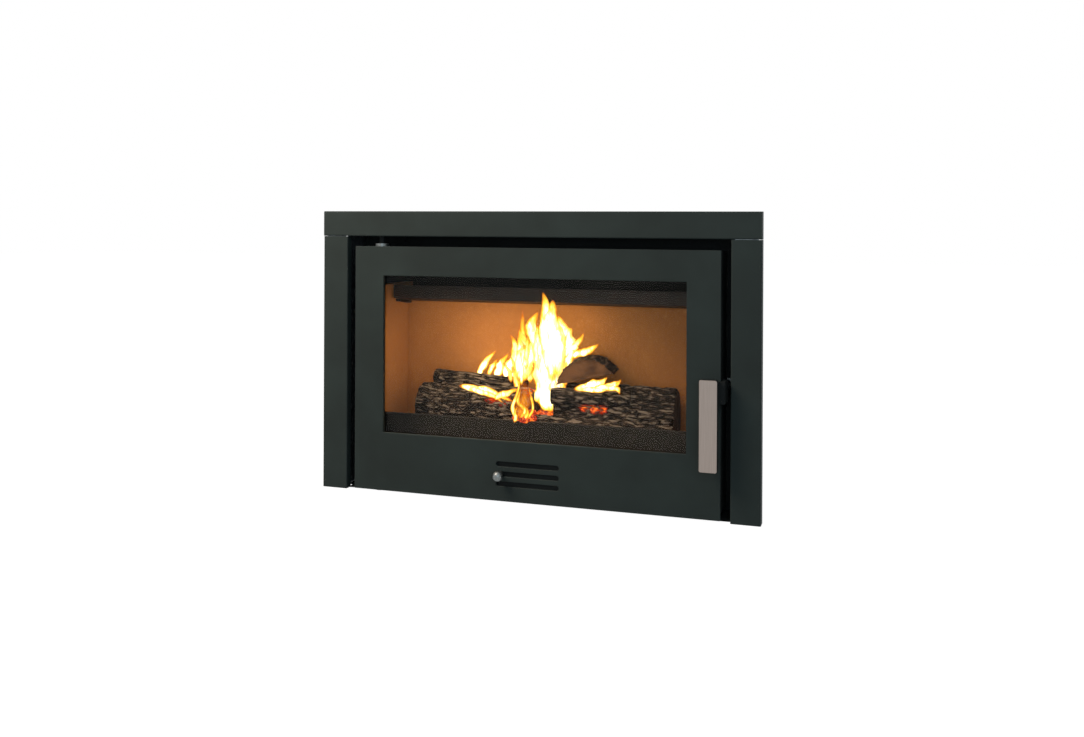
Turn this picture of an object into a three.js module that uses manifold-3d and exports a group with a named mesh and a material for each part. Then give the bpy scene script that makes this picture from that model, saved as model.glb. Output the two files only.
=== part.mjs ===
// A built-in wood fireplace insert: a steel firebox in a convection casing, a deep glazed door hung on
// its left side, a pull-out lever latch, a sliding air control and a three-sided surround trim.
// Millimetres, +Z up. While the pieces are drawn, y = 0 is the front face of the door and of the trim,
// -Y is the room and x = 0 is the middle. At the end the whole moves so that the origin lies under
// the middle of its bounding box.
import * as THREE from "three";
import { mergeVertices } from "three/addons/utils/BufferGeometryUtils.js";
import Module from "manifold-3d";

const wasm = await Module();
wasm.setup();

// ---- Clearances
const SEAT = 0.3; // between two pieces that touch
const PIN_PLAY = 0.4; // all round a pin that turns in a hole
const PAST = 1; // a shape that cuts or joins another runs this far past its face
const HAIR = 0.01; // keeps two arcs from meeting in a bare line

// ---- Surround trim, folded from steel sheet
const TRIM_WIDTH = 800;
const TRIM_HEIGHT = 510;
const TRIM_SIDE = 49.5; // width of a side bar
const TRIM_TOP = 45.5; // height of the top bar
const TRIM_SHEET = 3;
const TRIM_OUTER_RETURN = 22;
const TRIM_INNER_RETURN = 15;
const TRIM_BEND = 2.5;
const TRIM_SEAM = 0.6; // the side bars butt under the top bar
const BRACKET_SHEET = 2.5;
const BRACKET_HEIGHT = 30;
const BRACKET_REACH = 28; // along the casing
const BRACKET_TURN = 22; // behind the trim's front sheet
const BRACKET_LOW = 102; // height of the lower side brackets
const BRACKET_HIGH_DROP = 127.5; // upper side brackets below the trim's top
const BRACKET_SPACING = 400; // between the two brackets of the top bar
const CORNER_PLATE = 2;
const CORNER_PLATE_DROP = 28; // below the top bar
const CORNER_PLATE_ARM = 40; // beyond the side bar
const CORNER_MARGIN = 6; // inside the trim's outer faces

// ---- Door panel
const GAP_SIDE = 16; // air gap between the door and the side bars
const GAP_TOP = 18.5;
const DOOR_LIFT = 2.6; // door's lower edge above the hearth
const DOOR_SHEET = 5;
const DOOR_EDGE = 0.6; // broken edge of the laser-cut plate
const DOOR_RADIUS = 1.2;
const STILE = 57;
const RAIL_TOP = 53;
const RAIL_BOTTOM = 105.4;
const WINDOW_RADIUS = 1.5;

// ---- Door box: the deep welded frame behind the panel
const BOX_SHEET = 3;
const BOX_DEPTH = 60;
const BOX_INSET_LEFT = 13.5;
const BOX_INSET_TOP = 3;
const BOX_INSET_BOTTOM = 11.4;
const BOX_LIP = 9;
const ROPE = 9; // diameter of the glass-fibre rope
const ROPE_CORNER = 14; // radius that the rope turns on
const ROPE_STEPS = 5;
const ROPE_SIDES = 10;
// Beside the hinge the rope and its seat turn away from the front, so that every point of the rope
// moves off its seat as the door begins to open.
const SEAT_TURN = Math.PI / 8;
const SEAT_BEND = 1; // the bend lies this far inside the hinge axis
const ROPE_RUN = 23; // from the bend to the rope's left run
const SEAT_MARGIN = 5; // seat beyond the rope's middle on the fire side
const SEAT_OUTSIDE = 9; // and on the outer side
const JAMB_ABOVE = 6; // seat bar beyond the door box's upper edge

// ---- Glass
const GLASS_THICK = 4;
const GLASS_LAP = 14;
const GLASS_RADIUS = 3;
const GASKET_THICK = 1.4;
const GASKET_WIDTH = 10;
const GASKET_MARGIN = 1; // outside the window's edge
const GASKET_RADIUS = 4;
const CLIP_SHEET = 2;
const CLIP_HEIGHT = 24;
const CLIP_FOOT = 13;
const CLIP_PLAY = 1; // beside the glass
const CLIP_FINGER = 9; // over the glass
const CLIP_INSET = 51; // from the window's upper and lower edges

// ---- Hinge
const HINGE_INSET = 44.5; // from the panel's left edge
const HINGE_DEPTH = 20; // behind the panel's front face
const HINGE_PIN = 10;
const HINGE_BUSH = 25;
const HINGE_BUSH_HEIGHT = 7.7;
const HINGE_ARM_WIDTH = 44;
const HINGE_ARM_SHEET = 5;
const HINGE_ARM_FRONT = 8;
const HINGE_ARM_RISE = 22; // top arm above the panel's upper edge
const HINGE_FOOT_SHEET = 2.2; // low enough for the panel to sweep over it
const HINGE_TAB = 4; // upright of an arm, welded on the firebox face
const HINGE_TAB_ABOVE = 9; // top arm's upright above the door box
const HINGE_TAB_BELOW = 2; // bottom arm's upright below it
const PIN_HEAD = 3.5;
const PIN_HEAD_LEDGE = 3; // head beyond the pin all round
const PIN_TOP_REACH = 3; // top pin inside the door box
const PIN_BOTTOM_REACH = 5; // bottom pin inside it
const PIN_LIFT = 0.4; // bottom pin above the hearth

// ---- Air control
const SLOT_LENGTH = 115;
const SLOT_HEIGHT = 9;
const SLOT_PITCH = 17.3;
const SLOT_COUNT = 3;
const SLOT_RISE = 30.2; // lowest slot above the panel's lower edge
const SLIDE_TRAVEL = 96;
const SLIDE_SHEET = 2;
const SLIDE_MARGIN = 5.5;
const SLIDE_OVERLAP = 7; // solid plate beyond each slot when shut
const SLIDE_SPARE = 2; // windows longer than the travel
const SLIDE_END = 12;
const SLIDE_RADIUS = 3;
const GUIDE_FLANGE = 3.6;
const GUIDE_LAP = 4;
const GUIDE_SHEET = 1.5;
const GUIDE_SPARE = 4; // rail beyond the plate at each end of its travel
const STEM = 6;
const STEM_TAIL = 4; // diameter where it passes the plate
const STEM_RIVET = 1.6; // height of its riveted end
const STEM_RIVET_LEDGE = 1;
const STEM_SHORT = 2.7; // front end behind the knob's centre
const KNOB = 18;
const KNOB_STAND = 17; // knob's centre in front of the panel

// ---- Handle and latch
const HANDLE_WIDTH = 29;
const HANDLE_LENGTH = 149;
const HANDLE_RISE = 85.4; // handle's lower end above the panel's lower edge
const HANDLE_INSET = 1.1;
const HANDLE_REACH = 33;
const FACING_SHEET = 1.5;
const HANDLE_BODY = 12.5;
const HANDLE_SHEET = 2;
const HANDLE_RADIUS = 3;
const HANDLE_EDGE = 0.5;
const FACING_EDGE = 0.4;
const LEVER_SHEET = 6;
const LEVER_GAP = 3; // between the panel's edge and the lever
const LEVER_HEIGHT = 36;
const LEVER_BACK = 9; // lever's front edge before the panel's face
const LEVER_ARM_PLAY = 4; // lever's cross arm inside the grip's side
const NECK_START = 5; // in front of the pivot, where the lever begins to narrow
const NECK_CURVE = 8; // behind it, where its edges turn
const NECK_END = 17; // and where the hook's arm begins
const PIVOT_DEPTH = 25;
const PIVOT_RISE = 219.4;
const PIVOT_ABOVE = 11; // lever's upper edge above its pivot
const PIVOT_PIN = 8;
const RIVET_HEIGHT = 2; // pivot pin's end inside the door box
const RIVET_LEDGE = 2.5;
const SPACER_LEDGE = 3.5; // spacer beyond the pin all round
const HEAD_HEIGHT = 2.2;
const HEAD_LEDGE = 2;
const KEEPER_PIN = 8;
const KEEPER_REACH = 36; // keeper pin behind the pivot
const KEEPER_ABOVE = 4.4;
const HOOK_DROP = 4; // hook's arm below the keeper pin
const HOOK_TOOTH = 7;
const HOOK_CLEAR = 0.4; // tooth below the keeper pin at rest
const HOOK_ARM = 11; // height of the hook's arm
const HOOK_TAPER = 2; // arm is that much higher at its root
const HOOK_CHAMFER = 2; // tooth's upper rear corner
const HOOK_NOSE = 3; // its lower one
const KEEPER_SHEET = 4;
const KEEPER_GAP = 3.5; // between the lever and the bracket
const KEEPER_FRONT = 9; // bracket before its pin
const KEEPER_HEIGHT = 32;
const KEEPER_FOOT = 8; // bracket's foot beyond the firebox's side
const KEEPER_PIN_GAP = 2; // between the door's edge and the pin

// ---- Firebox
const FACE_SHEET = 4;
const SHELL_SHEET = 4;
const SIDE_DUCT = 12; // between the firebox and the casing
const SHELL_BOTTOM = 10;
const SHELL_DROP = 16; // firebox top below the casing's top
const FACE_DROP = 4;
const FIRE_DEPTH = 138;
const FIRE_HEAD = 18; // opening's upper edge below the door box's top
const FIRE_SIDE = 12.2; // opening's right edge inside the door box's side
const LINER_SIDE = 17.7;
const LINER_BACK = 22;
const LINER_SIDE_RISE = 27; // above the baffle's lower edge
const LINER_BACK_DROP = 10.3; // below it
const HEARTH_CLEAR = 7.7; // hearth slab above the ash pan
const HEARTH_THICK = 22;
const LEDGE = 22;
const LEDGE_SHEET = 3.7;

// ---- Grate, ash pan, log retainer
const GRATE_LENGTH = 260;
const GRATE_WIDTH = 96;
const GRATE_THICK = 9;
const GRATE_RIM = 10;
const GRATE_BARS = 11;
const GRATE_SLOT = 11;
const PAN_LENGTH = 276;
const PAN_DEPTH = 142;
const PAN_HEIGHT = 40;
const PAN_SHEET = 1.5;
const PAN_PLAY = 4; // each side of the pan in the frame's opening
const PAN_SLOPE = 6; // each side leans in this far
const PAN_INSET = 4; // behind the firebox face
const PAN_LIP = 80; // length of the lip to pull the pan by
const PAN_LIP_REACH = 6; // before the firebox face
const PAN_LIP_DROP = 8; // below the pan's rim
const RETAINER_HEIGHT = 44;
const RETAINER_SHEET = 4;
const RETAINER_LIP = 5;
const RETAINER_STAND = 5; // behind the firebox frame

// ---- Smoke baffle
const BAFFLE_FRONT = 63; // behind the firebox face's rear
const BAFFLE_SHEET = 6;
const BAFFLE_DROP = 83; // baffle's lower edge below the opening's upper edge
const BAFFLE_FLANGE = 25;
const BAFFLE_GAP = 4;
const BAFFLE_PLAY = 1; // before the back liner's faces
const BAFFLE_LEDGE_FRONT = 18; // behind the baffle's front
const BAFFLE_LEDGE_REAR = 6; // before the back liner
const BAFFLE_LEDGE_SHEET = 5;
const BAFFLE_LEDGE_LAP = 6; // under the baffle

// ---- Casing and flue
const CASING_MARGIN = 36; // casing's side inside the trim's outer edge
const CASING_SHEET = 2;
const CASING_FRONT = 26;
const CASING_DROP = 30; // casing's top below the trim's
const REAR_DUCT = 56.8;
const CASING_CHAMFER = 30;
const FLUE = 150;
const FLUE_WALL = 3;
const FLUE_FLANGE = 6;
const FLUE_FLANGE_SHEET = 3;
const FLUE_BEAD = 2; // beyond the collar
const FLUE_BEAD_DROP = 10; // below its rim
const FLUE_CLEAR = 3; // between the collar and the casing's hole
const FLUE_SIDES = 36;
const VENT_START = 150; // first vent from the middle
const VENT_RISE = 20; // rear vents above the firebox's underside
const VENT_WIDTH = 8;
const VENT_LENGTH = 60;
const VENT_PITCH = 28;
const VENT_COUNT = 6;
const VENT_FACETS = 2; // straight steps in each quarter of a vent's round end
const RAIL_WIDTH = 40;
const RAIL_SHEET = 2;
const RAIL_INSET = 70; // rail's middle inside the firebox's side
const RAIL_MARGIN = 10; // at each end

// ---- Firewood
const LOG_SIDES = 16;
const LOG_RINGS = 7;
const LOG_TAPER = 0.06;
const LOG_SWELL = 0.035; // unevenness, as a share of the radius
const SPLIT_CHORD = 110;
const SPLIT_RISE = 39;
const SPLIT_LENGTH = 78;
const SPLIT_TILT = -0.21; // radians
const SPLIT_TURN = 0.12;

// ---- Places worked out from the sizes above
const trimHalf = TRIM_WIDTH / 2;
const trimInner = trimHalf - TRIM_SIDE;
const topBarBottom = TRIM_HEIGHT - TRIM_TOP;
const doorHalf = trimInner - GAP_SIDE;
const doorBottom = DOOR_LIFT;
const doorTop = topBarBottom - GAP_TOP;
const windowHalf = doorHalf - STILE;
const windowBottom = doorBottom + RAIL_BOTTOM;
const windowTop = doorTop - RAIL_TOP;
const boxFront = DOOR_SHEET + SEAT;
const boxRear = boxFront + BOX_DEPTH;
const boxLeft = -doorHalf + BOX_INSET_LEFT;
const boxRight = doorHalf - SEAT;
const boxBottom = doorBottom + BOX_INSET_BOTTOM;
const boxTop = doorTop - BOX_INSET_TOP;
const ropeY = boxRear + SEAT + ROPE / 2;
const faceY = ropeY + ROPE / 2 + SEAT;
const hingeX = -doorHalf + HINGE_INSET;
const hingeY = HINGE_DEPTH;
const casingHalf = trimHalf - CASING_MARGIN;
const casingTop = TRIM_HEIGHT - CASING_DROP;
const shellHalf = casingHalf - SIDE_DUCT;
const shellTop = casingTop - SHELL_DROP;
const faceTop = casingTop - FACE_DROP;
const fireTop = boxTop - FIRE_HEAD;
const fireRight = boxRight - FIRE_SIDE;
const baffleBottom = fireTop - BAFFLE_DROP;
const linerSideTop = baffleBottom + LINER_SIDE_RISE;
const linerBackTop = baffleBottom - LINER_BACK_DROP;
const shellFront = faceY + FACE_SHEET;
const linerBackY = shellFront + FIRE_DEPTH;
const shellBack = linerBackY + LINER_BACK + SEAT + SHELL_SHEET;
const casingBack = shellBack + REAR_DUCT;
const flueY = (shellFront + shellBack) / 2;
const shellInner = shellHalf - SHELL_SHEET;
const linerInner = shellInner - SEAT - LINER_SIDE;
const bendX = hingeX + SEAT_BEND;
const ropeHalf = ROPE / 2 + SEAT; // from the rope's middle to what it touches
const floorTop = SHELL_BOTTOM + SHELL_SHEET;
const panTop = floorTop + SEAT + PAN_HEIGHT;
const hearthBottom = panTop + HEARTH_CLEAR;
const hearthTop = hearthBottom + HEARTH_THICK;
const slotZ = doorBottom + SLOT_RISE + ((SLOT_COUNT - 1) / 2) * SLOT_PITCH; // middle slot
const knobX = -SLIDE_TRAVEL / 2;
const pivotZ = doorBottom + PIVOT_RISE;

// A point beside the hinge: run away from the bend along the turned plane, and lift towards the fire.
function turned(run, lift) {
  return [
    bendX - run * Math.cos(SEAT_TURN) - lift * Math.sin(SEAT_TURN),
    ropeY - run * Math.sin(SEAT_TURN) + lift * Math.cos(SEAT_TURN),
  ];
}

// Where the flat plane and the turned plane meet at this lift.
function bendPoint(lift) {
  return [bendX - lift * Math.tan(SEAT_TURN / 2), ropeY + lift];
}

// Where the turned plane at this lift passes a given x or a given y.
function turnedAtX(x, lift) {
  return turned((bendX - x - lift * Math.sin(SEAT_TURN)) / Math.cos(SEAT_TURN), lift);
}

function liftAtY(run, y) {
  return (y - ropeY + run * Math.sin(SEAT_TURN)) / Math.cos(SEAT_TURN);
}

// ---- Finishes
const steelPaint = { color: 0x3a413f, roughness: 0.62, metalness: 0.35 };
const darkPaint = { color: 0x1d2020, roughness: 0.8, metalness: 0.3 };
const zincSheet = { color: 0x8f9496, roughness: 0.45, metalness: 0.85 };
const brushedSteel = { color: 0x9c928a, roughness: 0.36, metalness: 1 };
const polishedSteel = { color: 0x9aa0a2, roughness: 0.28, metalness: 1 };
const vermiculite = { color: 0xb98a55, roughness: 0.95, metalness: 0 };
const castIron = { color: 0x2a2725, roughness: 0.85, metalness: 0.4 };
const heatSteel = { color: 0x33271f, roughness: 0.7, metalness: 0.5 };
const ropeFibre = { color: 0x5d5a55, roughness: 1, metalness: 0 };
const bark = { color: 0x4a3f38, roughness: 1, metalness: 0 };
const ceramicGlass = {
  color: 0xb9c4c4,
  roughness: 0.05,
  metalness: 0,
  transparent: true,
  opacity: 0.25,
};

// ---- Shaping tools

// A closed geometry as a solid that can be cut and joined.
function solid(geometry) {
  const bare = new THREE.BufferGeometry();
  const source = geometry.index ? geometry.toNonIndexed() : geometry;
  bare.setAttribute("position", source.getAttribute("position").clone());
  const merged = mergeVertices(bare, 1e-4);
  return new wasm.Manifold(
    new wasm.Mesh({
      numProp: 3,
      vertProperties: merged.getAttribute("position").array,
      triVerts: new Uint32Array(merged.index.array),
    }),
  );
}

function join(first, ...others) {
  return others.reduce((sum, other) => sum.add(other), first);
}

function cut(base, ...tools) {
  return tools.reduce((left, tool) => left.subtract(tool), base);
}

function block(x0, x1, y0, y1, z0, z1) {
  const box = new THREE.BoxGeometry(x1 - x0, y1 - y0, z1 - z0);
  return solid(box.translate((x0 + x1) / 2, (y0 + y1) / 2, (z0 + z1) / 2));
}

// Extrusions of a flat outline: shape (x, y) along Z, shape (x, z) along Y, shape (z, y) along X.
function extrude(shape, length, edge = 0, curveSegments = 4) {
  return new THREE.ExtrudeGeometry(shape, {
    depth: length - 2 * edge,
    bevelEnabled: edge > 0,
    bevelThickness: edge,
    bevelSize: edge,
    bevelOffset: -edge,
    bevelSegments: 1,
    curveSegments,
  }).translate(0, 0, edge);
}

function alongZ(shape, z0, z1, curveSegments) {
  return solid(extrude(shape, z1 - z0, 0, curveSegments).translate(0, 0, z0));
}

function alongY(shape, y0, y1, edge = 0, curveSegments = 4) {
  const length = extrude(shape, y1 - y0, edge, curveSegments);
  return solid(length.rotateX(Math.PI / 2).translate(0, y1, 0));
}

function alongX(shape, x0, x1) {
  return solid(extrude(shape, x1 - x0).rotateY(-Math.PI / 2).translate(x1, 0, 0));
}

function rodZ(x, y, z0, z1, diameter, sides = 24) {
  const rod = new THREE.CylinderGeometry(diameter / 2, diameter / 2, z1 - z0, sides);
  return solid(rod.rotateX(Math.PI / 2).translate(x, y, (z0 + z1) / 2));
}

function rodX(x0, x1, y, z, diameter, sides = 24) {
  const rod = new THREE.CylinderGeometry(diameter / 2, diameter / 2, x1 - x0, sides);
  return solid(rod.rotateZ(Math.PI / 2).translate((x0 + x1) / 2, y, z));
}

// A rectangle from (u0, v0) to (u1, v1) with round corners, as a shape or as a hole.
function roundRect(path, u0, u1, v0, v1, radius) {
  path.moveTo(u0 + radius, v0);
  path.lineTo(u1 - radius, v0);
  path.absarc(u1 - radius, v0 + radius, radius, -Math.PI / 2, 0);
  path.lineTo(u1, v1 - radius);
  path.absarc(u1 - radius, v1 - radius, radius, 0, Math.PI / 2);
  path.lineTo(u0 + radius, v1);
  path.absarc(u0 + radius, v1 - radius, radius, Math.PI / 2, Math.PI);
  path.lineTo(u0, v0 + radius);
  path.absarc(u0 + radius, v0 + radius, radius, Math.PI, 1.5 * Math.PI);
  return path;
}

function polygon(points) {
  return new THREE.Shape(points.map(([u, v]) => new THREE.Vector2(u, v)));
}

const insert = new THREE.Group();
const bodies = {};
for (const name of ["fixed", "door", "latch", "slide"]) {
  bodies[name] = new THREE.Group();
  insert.add(bodies[name]);
}

// Adds a finished piece to one of the four moving bodies.
function piece(body, name, shape, finish) {
  const mesh = shape.getMesh();
  const geometry = new THREE.BufferGeometry();
  geometry.setAttribute("position", new THREE.BufferAttribute(mesh.vertProperties, 3));
  geometry.setIndex(new THREE.BufferAttribute(mesh.triVerts, 1));
  const faceted = geometry.toNonIndexed();
  faceted.computeVertexNormals();
  const part = new THREE.Mesh(faceted, new THREE.MeshStandardMaterial(finish));
  part.name = name;
  bodies[body].add(part);
  return shape;
}

// ---- Surround trim

// Section of a folded bar: front sheet with a return at its outer and its inner edge.
function barSection(outer, inner, innerReturn) {
  const side = Math.sign(outer - inner);
  const shape = new THREE.Shape();
  shape.moveTo(outer, TRIM_OUTER_RETURN);
  shape.lineTo(outer, TRIM_BEND);
  shape.quadraticCurveTo(outer, 0, outer - side * TRIM_BEND, 0);
  shape.lineTo(inner + side * TRIM_BEND, 0);
  shape.quadraticCurveTo(inner, 0, inner, TRIM_BEND);
  shape.lineTo(inner, innerReturn);
  shape.lineTo(inner + side * TRIM_SHEET, innerReturn);
  shape.lineTo(inner + side * TRIM_SHEET, TRIM_SHEET);
  shape.lineTo(outer - side * TRIM_SHEET, TRIM_SHEET);
  shape.lineTo(outer - side * TRIM_SHEET, TRIM_OUTER_RETURN);
  return shape;
}

function trimSideBar(side) {
  const section = barSection(side * trimHalf, side * trimInner, TRIM_INNER_RETURN);
  return alongZ(section, 0, topBarBottom - TRIM_SEAM);
}

// The top bar's lower return runs only between the side bars, and its ends are folded shut.
function trimTopBar() {
  const section = barSection(TRIM_HEIGHT, topBarBottom, TRIM_INNER_RETURN);
  let bar = alongX(section, -trimHalf, trimHalf);
  for (const side of [-1, 1]) {
    const [x0, x1] = side < 0 ? [-trimHalf, -trimInner] : [trimInner, trimHalf];
    const returnEnd = block(
      x0 - PAST,
      x1 + PAST,
      TRIM_SHEET,
      TRIM_INNER_RETURN + PAST,
      topBarBottom - PAST,
      topBarBottom + TRIM_SHEET + PAST,
    );
    const endX = side * (trimHalf - TRIM_SHEET / 2);
    const cap = block(
      endX - TRIM_SHEET / 2,
      endX + TRIM_SHEET / 2,
      TRIM_SHEET / 2,
      TRIM_OUTER_RETURN,
      topBarBottom,
      TRIM_HEIGHT - TRIM_SHEET / 2,
    );
    bar = join(cut(bar, returnEnd), cap);
  }
  return bar;
}

// A plate behind each corner that carries the side bar on the top bar.
function cornerPlate(side) {
  const y0 = TRIM_SHEET + SEAT;
  const x = [side * (trimInner + CORNER_MARGIN), side * (trimHalf - CORNER_MARGIN)];
  const upright = block(
    Math.min(...x),
    Math.max(...x),
    y0,
    y0 + CORNER_PLATE,
    topBarBottom - CORNER_PLATE_DROP,
    TRIM_HEIGHT - CORNER_MARGIN,
  );
  const armX = [side * (trimInner - CORNER_PLATE_ARM), side * (trimHalf - CORNER_MARGIN)];
  const arm = block(
    Math.min(...armX),
    Math.max(...armX),
    y0,
    y0 + CORNER_PLATE,
    topBarBottom + CORNER_MARGIN,
    TRIM_HEIGHT - CORNER_MARGIN,
  );
  return join(upright, arm);
}

// A strip screwed to the casing that turns out behind the trim's front sheet.
function trimBracketSection(flat, side) {
  const inner = flat + side * SEAT;
  const outer = inner + side * BRACKET_SHEET;
  const tip = inner + side * BRACKET_TURN;
  const front = TRIM_SHEET + SEAT;
  return polygon([
    [inner, front],
    [tip, front],
    [tip, front + BRACKET_SHEET],
    [outer, front + BRACKET_SHEET],
    [outer, CASING_FRONT + BRACKET_REACH],
    [inner, CASING_FRONT + BRACKET_REACH],
  ]);
}

piece("fixed", "trim_top", trimTopBar(), steelPaint);
for (const [label, side] of [["left", -1], ["right", 1]]) {
  piece("fixed", `trim_${label}`, trimSideBar(side), steelPaint);
  piece("fixed", `trim_corner_plate_${label}`, cornerPlate(side), zincSheet);
  const section = trimBracketSection(side * casingHalf, side);
  for (const [level, z] of [["lower", BRACKET_LOW], ["upper", TRIM_HEIGHT - BRACKET_HIGH_DROP]]) {
    const strip = alongZ(section, z - BRACKET_HEIGHT / 2, z + BRACKET_HEIGHT / 2);
    piece("fixed", `trim_bracket_${label}_${level}`, strip, zincSheet);
  }
  const x = (side * BRACKET_SPACING) / 2;
  const topSection = trimBracketSection(casingTop, 1);
  const topStrip = alongX(topSection, x - BRACKET_HEIGHT / 2, x + BRACKET_HEIGHT / 2);
  piece("fixed", `trim_bracket_top_${label}`, topStrip, zincSheet);
}

// ---- Casing and flue

// Plan of the casing, inset by some thickness: straight sides with two angled rear corners.
function casingPlan(inset, front) {
  const half = casingHalf - inset;
  const back = casingBack - inset;
  const slant = CASING_CHAMFER - inset * (Math.SQRT2 - 1) * Math.SQRT2;
  return polygon([
    [-half, front],
    [half, front],
    [half, back - slant],
    [half - slant, back],
    [-half + slant, back],
    [-half, back - slant],
  ]);
}

function vent(across, along, length, width) {
  const hole = new THREE.Shape();
  return roundRect(hole, across - width / 2, across + width / 2, along, along + length, width / 2);
}

function ventX(side, i) {
  return side * (VENT_START + i * VENT_PITCH);
}

// Base, sides and back, folded from one sheet, open at its front and top.
function outerCasing() {
  const rim = casingTop - CASING_SHEET - SEAT;
  const outside = alongZ(casingPlan(0, CASING_FRONT), 0, rim);
  const inside = alongZ(casingPlan(CASING_SHEET, CASING_FRONT - PAST), CASING_SHEET, rim + PAST);
  const doorway = block(
    -casingHalf + CASING_SHEET,
    casingHalf - CASING_SHEET,
    CASING_FRONT - PAST,
    faceY + SEAT,
    -PAST,
    CASING_SHEET + PAST,
  );
  let casing = cut(outside, inside, doorway);
  for (const side of [-1, 1]) {
    for (let i = 0; i < VENT_COUNT; i += 1) {
      const slot = vent(ventX(side, i), SHELL_BOTTOM + VENT_RISE, VENT_LENGTH, VENT_WIDTH);
      const y0 = casingBack - CASING_SHEET - PAST;
      casing = cut(casing, alongY(slot, y0, casingBack + PAST, 0, VENT_FACETS));
    }
  }
  return casing;
}

// Lid riveted on the casing, with the collar's hole and the vents that let the warm air out.
function casingLid() {
  const low = casingTop - CASING_SHEET;
  const sheet = alongZ(casingPlan(0, CASING_FRONT), low, casingTop);
  const hole = FLUE + 2 * FLUE_CLEAR;
  let lid = cut(sheet, rodZ(0, flueY, low - PAST, casingTop + PAST, hole, FLUE_SIDES));
  for (const side of [-1, 1]) {
    for (let i = 0; i < VENT_COUNT; i += 1) {
      const slot = vent(ventX(side, i), flueY, VENT_LENGTH, VENT_WIDTH);
      lid = cut(lid, alongZ(slot, low - PAST, casingTop + PAST, VENT_FACETS));
    }
  }
  return lid;
}

function flueCollar() {
  const inner = FLUE / 2 - FLUE_WALL;
  const outer = FLUE / 2;
  const base = shellTop + SEAT;
  const beadZ = TRIM_HEIGHT - FLUE_BEAD_DROP;
  const profile = [
    [inner, base],
    [outer + FLUE_FLANGE, base],
    [outer + FLUE_FLANGE, base + FLUE_FLANGE_SHEET],
    [outer, base + FLUE_FLANGE_SHEET],
    [outer, beadZ - FLUE_BEAD],
    [outer + FLUE_BEAD, beadZ],
    [outer, beadZ + FLUE_BEAD],
    [outer, TRIM_HEIGHT],
    [inner, TRIM_HEIGHT],
    [inner, base],
  ].map(([r, z]) => new THREE.Vector2(r, z));
  const collar = new THREE.LatheGeometry(profile, FLUE_SIDES);
  return solid(collar.rotateX(Math.PI / 2).translate(0, flueY, 0));
}

// Low channel under the firebox floor that keeps it off the casing's base sheet.
function supportRail(side) {
  const x = side * (shellHalf - RAIL_INSET);
  const half = RAIL_WIDTH / 2;
  const bottom = CASING_SHEET + SEAT;
  const top = SHELL_BOTTOM - SEAT;
  const section = polygon([
    [x - half, bottom],
    [x - half + RAIL_SHEET, bottom],
    [x - half + RAIL_SHEET, top - RAIL_SHEET],
    [x + half - RAIL_SHEET, top - RAIL_SHEET],
    [x + half - RAIL_SHEET, bottom],
    [x + half, bottom],
    [x + half, top],
    [x - half, top],
  ]);
  return alongY(section, shellFront + RAIL_MARGIN, shellBack - RAIL_MARGIN);
}

piece("fixed", "outer_casing", outerCasing(), zincSheet);
piece("fixed", "casing_top", casingLid(), zincSheet);
piece("fixed", "flue_collar", flueCollar(), darkPaint);
piece("fixed", "support_rail_left", supportRail(-1), zincSheet);
piece("fixed", "support_rail_right", supportRail(1), zincSheet);

// ---- Firebox

// Bar welded beside the opening that carries the turned part of the rope's seat.
function hingeJamb() {
  const outer = turned(ROPE_RUN + SEAT_OUTSIDE, ropeHalf);
  const [seatBendX] = bendPoint(ropeHalf);
  const section = polygon([
    [outer[0], faceY + PAST],
    outer,
    [seatBendX, faceY],
    [seatBendX, faceY + PAST],
  ]);
  return alongZ(section, boxBottom - PAST, boxTop + JAMB_ABOVE);
}

// Opening of the firebox, its left side square to the turned seat.
function fireOpening() {
  const run = ROPE_RUN - SEAT_MARGIN;
  const front = turned(run, 0);
  const rear = turned(run, liftAtY(run, shellFront + PAST));
  return alongZ(
    polygon([front, rear, [fireRight, shellFront + PAST], [fireRight, front[1]]]),
    hearthTop,
    fireTop,
  );
}

// Front frame of the firebox, on whose face the door's rope lies.
function fireboxFace() {
  const face = block(
    -shellHalf,
    shellHalf,
    faceY,
    shellFront,
    CASING_SHEET + SEAT,
    faceTop,
  );
  const panOpening = block(
    -PAN_LENGTH / 2 - PAN_PLAY,
    PAN_LENGTH / 2 + PAN_PLAY,
    faceY - PAST,
    shellFront + PAST,
    floorTop,
    panTop + PAN_PLAY,
  );
  return cut(join(face, hingeJamb()), fireOpening(), panOpening);
}

// Box behind the frame, open at its front, with a ledge on each side for the hearth slab.
function fireboxShell() {
  const front = shellFront + SEAT;
  const outside = block(-shellHalf, shellHalf, front, shellBack, SHELL_BOTTOM, shellTop);
  const inside = block(
    -shellInner,
    shellInner,
    front - PAST,
    shellBack - SHELL_SHEET,
    floorTop,
    shellTop - SHELL_SHEET,
  );
  const smokeHole = rodZ(
    0,
    flueY,
    shellTop - SHELL_SHEET - PAST,
    shellTop + PAST,
    FLUE - 2 * FLUE_WALL,
    FLUE_SIDES,
  );
  const ledgeTop = hearthBottom - SEAT;
  const ledges = [-1, 1].map((side) => {
    const x = [side * (shellInner - LEDGE), side * (shellInner + PAST)];
    return block(
      Math.min(...x),
      Math.max(...x),
      front,
      shellBack - SHELL_SHEET + PAST,
      ledgeTop - LEDGE_SHEET,
      ledgeTop,
    );
  });
  return join(cut(outside, inside, smokeHole), ...ledges);
}

piece("fixed", "firebox_face", fireboxFace(), darkPaint);
piece("fixed", "firebox_shell", fireboxShell(), darkPaint);

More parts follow.
